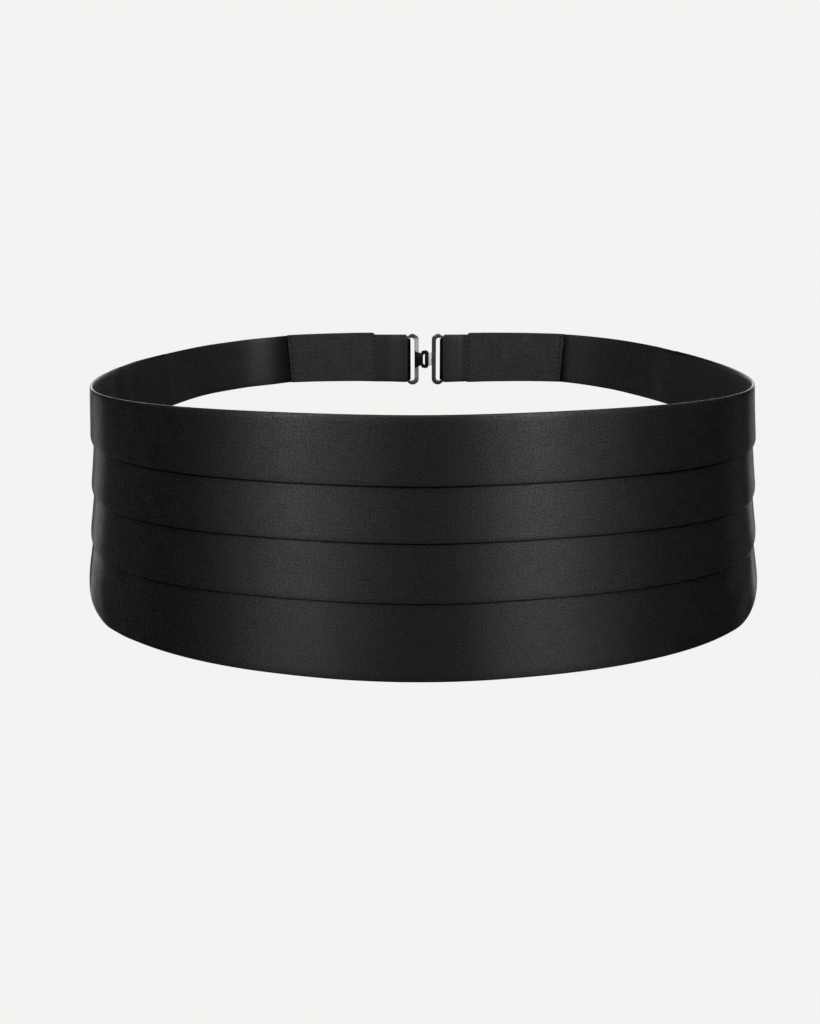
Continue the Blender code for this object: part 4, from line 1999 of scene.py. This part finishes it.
    def hook(self) -> list[Object]:
        """The hook's strip, painted pale for a highlight, and its tip, painted black for shade.

        Returns:
            The two pieces, dressed.
        """
        strip, tip = self.hook_routes()
        # Painted light: the strip is pale for a highlight, the tip black for shade.
        return [
            self.bent_plate("hook_strip", strip, self.hook_plate, STEEL_WITH_PAINTED_HIGHLIGHT),
            self.bent_plate("hook_tip", tip, self.hook_tip_plate, BLACK_ENAMEL_AND_PAINTED_SHADE),
        ]

    def build(self) -> list[Object]:
        """All of the clasp's pieces, dressed."""
        rings = [self.strap_ring(side) for side in Side]
        return [*rings, self.eye(), self.tongue(), *self.hook()]


# ----------------------------------------------------------------------------- the studio


class Softbox(NamedTuple):
    """A soft light: where it stands round the cummerbund, its face and its brightness."""

    name: str
    azimuth: float
    distance: float
    height: float
    width: float
    tall: float
    radiance: float


@dataclass
class Studio:
    """A pale floor and backdrop, soft lights and the camera."""

    pale: Colour = (0.8963, 0.8963, 0.8796)
    floor_level: float = -1.0
    floor_radius: float = 3.0
    floor_sides: int = 96
    rim: tuple[tuple[float, float], ...] = ((0.12, 1.05), (0.4, 1.06), (4.0, 1.0))
    ambient: float = 0.005
    aim: tuple[float, float, float] = (0.0, 0.0, -0.04)
    camera_place: tuple[float, float, float] = (-0.0065, -0.5488, 0.1296)
    camera_pitch: float = 20.0
    camera_roll: float = -0.25
    lens: float = 35.0
    sensor: float = 36.0
    boxes: tuple[Softbox, ...] = (
        Softbox("key_left", -24.5, 1.52, 0.50, 0.10, 1.2, 16.2),
        Softbox("key_right", 26.0, 1.52, 0.50, 0.10, 1.2, 19.3),
        Softbox("front_high", 0.0, 1.30, 1.50, 3.2, 2.2, 1.4),
        Softbox("back_sweep", 180.0, 2.50, 0.40, 4.5, 2.0, 1.2),
        Softbox("back_left", -163.0, 1.80, 0.55, 0.35, 1.2, 2.7),
        Softbox("back_right", 163.0, 1.80, 0.55, 0.35, 1.2, 2.0),
        Softbox("rim_left", -118.0, 1.30, -0.45, 0.60, 0.6, 0.85),
        Softbox("rim_right", 128.0, 1.30, -0.50, 0.35, 0.6, 0.7),
        Softbox("side_left", -75.0, 1.20, 1.20, 1.2, 1.2, 0.25),
        Softbox("side_right", 75.0, 1.20, 1.20, 1.2, 1.2, 0.8),
        Softbox("low_left", -80.0, 1.40, -0.45, 0.9, 0.6, 0.24),
        Softbox("low_right", 98.0, 1.40, -0.45, 0.5, 0.6, 0.24),
    )

    def build(self) -> None:
        """Sets up the whole studio."""
        self.floor()
        for box in self.boxes:
            self.light(box)
        self.air()
        self.camera()
        bpy.context.scene.view_settings.view_transform = "Standard"

    def floor(self) -> None:
        """The floor, turned up at its rim into a plain backdrop."""
        disc = {"vertices": self.floor_sides, "radius": self.floor_radius, "fill_type": "NGON"}
        level = (0.0, 0.0, self.floor_level)
        piece = added("pale_floor", bpy.ops.mesh.primitive_circle_add, location=level, **disc)
        settle(piece)
        with editing(piece):
            bpy.ops.mesh.select_mode(type="EDGE")
            bpy.ops.mesh.select_all(action="SELECT")
            bpy.ops.mesh.region_to_loop()
            for rise, spread in self.rim:
                step = {"value": (0.0, 0.0, rise)}
                bpy.ops.mesh.extrude_edges_move(TRANSFORM_OT_translate=step)
                bpy.ops.transform.resize(value=(spread, spread, 1.0), center_override=(0, 0, 0))
        shade(piece)
        paper = Shelf("pale paper").finish(
            Base_Color=(0.0, 0.0, 0.0, 1.0),
            Specular_IOR_Level=0.0,
            Emission_Color=(*self.pale, 1.0),
            Emission_Strength=1.0,
        )
        piece.data.materials.append(paper)
        piece.visible_diffuse = False
        piece.visible_glossy = False
        piece.visible_shadow = False

    def light(self, box: Softbox) -> None:
        """Places one softbox, turned to the cummerbund.

        Args:
            box: Its place, its face and its brightness.
        """
        lamp = bpy.data.lights.new(box.name, "AREA")
        lamp.shape = "RECTANGLE"
        lamp.size = box.width
        lamp.size_y = box.tall
        lamp.energy = box.radiance * math.pi * box.width * box.tall
        holder = bpy.data.objects.new(box.name, lamp)
        bpy.context.scene.collection.objects.link(holder)
        angle = math.radians(box.azimuth)
        ahead, beside = box.distance * math.cos(angle), box.distance * math.sin(angle)
        place = Vector((beside, -ahead, box.height))
        holder.location = place
        holder.rotation_euler = (Vector(self.aim) - place).to_track_quat("-Z", "Y").to_euler()
        holder.visible_camera = False

    def air(self) -> None:
        """A faint even light from all round, which the camera doesn't see."""
        world = bpy.data.worlds.new("studio air")
        bpy.context.scene.world = world
        world.use_nodes = True
        air = world.node_tree.nodes["Background"]
        air.inputs["Color"].default_value = (1.0, 1.0, 1.0, 1.0)
        air.inputs["Strength"].default_value = self.ambient

    def camera(self) -> None:
        """The camera at the photograph's place, pitch and lens."""
        lens = bpy.data.cameras.new("camera")
        lens.lens = self.lens
        lens.sensor_width = self.sensor
        lens.clip_start = 0.01
        lens.clip_end = 100.0
        holder = bpy.data.objects.new("camera", lens)
        bpy.context.scene.collection.objects.link(holder)
        holder.location = self.camera_place
        level = Euler((math.radians(90.0 - self.camera_pitch), 0.0, 0.0)).to_matrix()
        roll = Matrix.Rotation(math.radians(self.camera_roll), 3, "Z")
        holder.rotation_euler = (level @ roll).to_euler()
        bpy.context.scene.camera = holder


STRAP_CREASES = {
    Side.LEFT: (
        Crease(314.0, 16, 60, 13.0, 0.60, 3),
        Crease(357.0, 16, 60, 12.0, -1.3, 2),
        Crease(373.0, 16, 60, 8.0, 2.0, 1),
    ),
    Side.RIGHT: (
        Crease(368.0, 16, 60, 12.0, 1.3, -1),
        Crease(325.0, 14, 34, 7.0, 0.12, -4),
        Crease(296.0, 12, 26, 7.0, 0.25, -6),
    ),
}


def main() -> None:
    """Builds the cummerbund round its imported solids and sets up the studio."""
    logging.basicConfig(level=logging.INFO, format="%(name)s: %(message)s")
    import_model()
    waist = WaistLine()
    form = PanelForm(waist)
    clasp = ClaspSizes()
    pieces = [PleatedFront(form).build(), Backing(form).build()]
    for side in Side:
        pieces.append(Strap(waist, clasp, side, STRAP_CREASES[side]).build())
        pieces += FacingTab(waist, side).build()
    pieces += Clasp(waist, clasp).build()
    Studio().build()
    log.info("%d pieces", len(pieces))


if __name__ == "__main__":
    main()
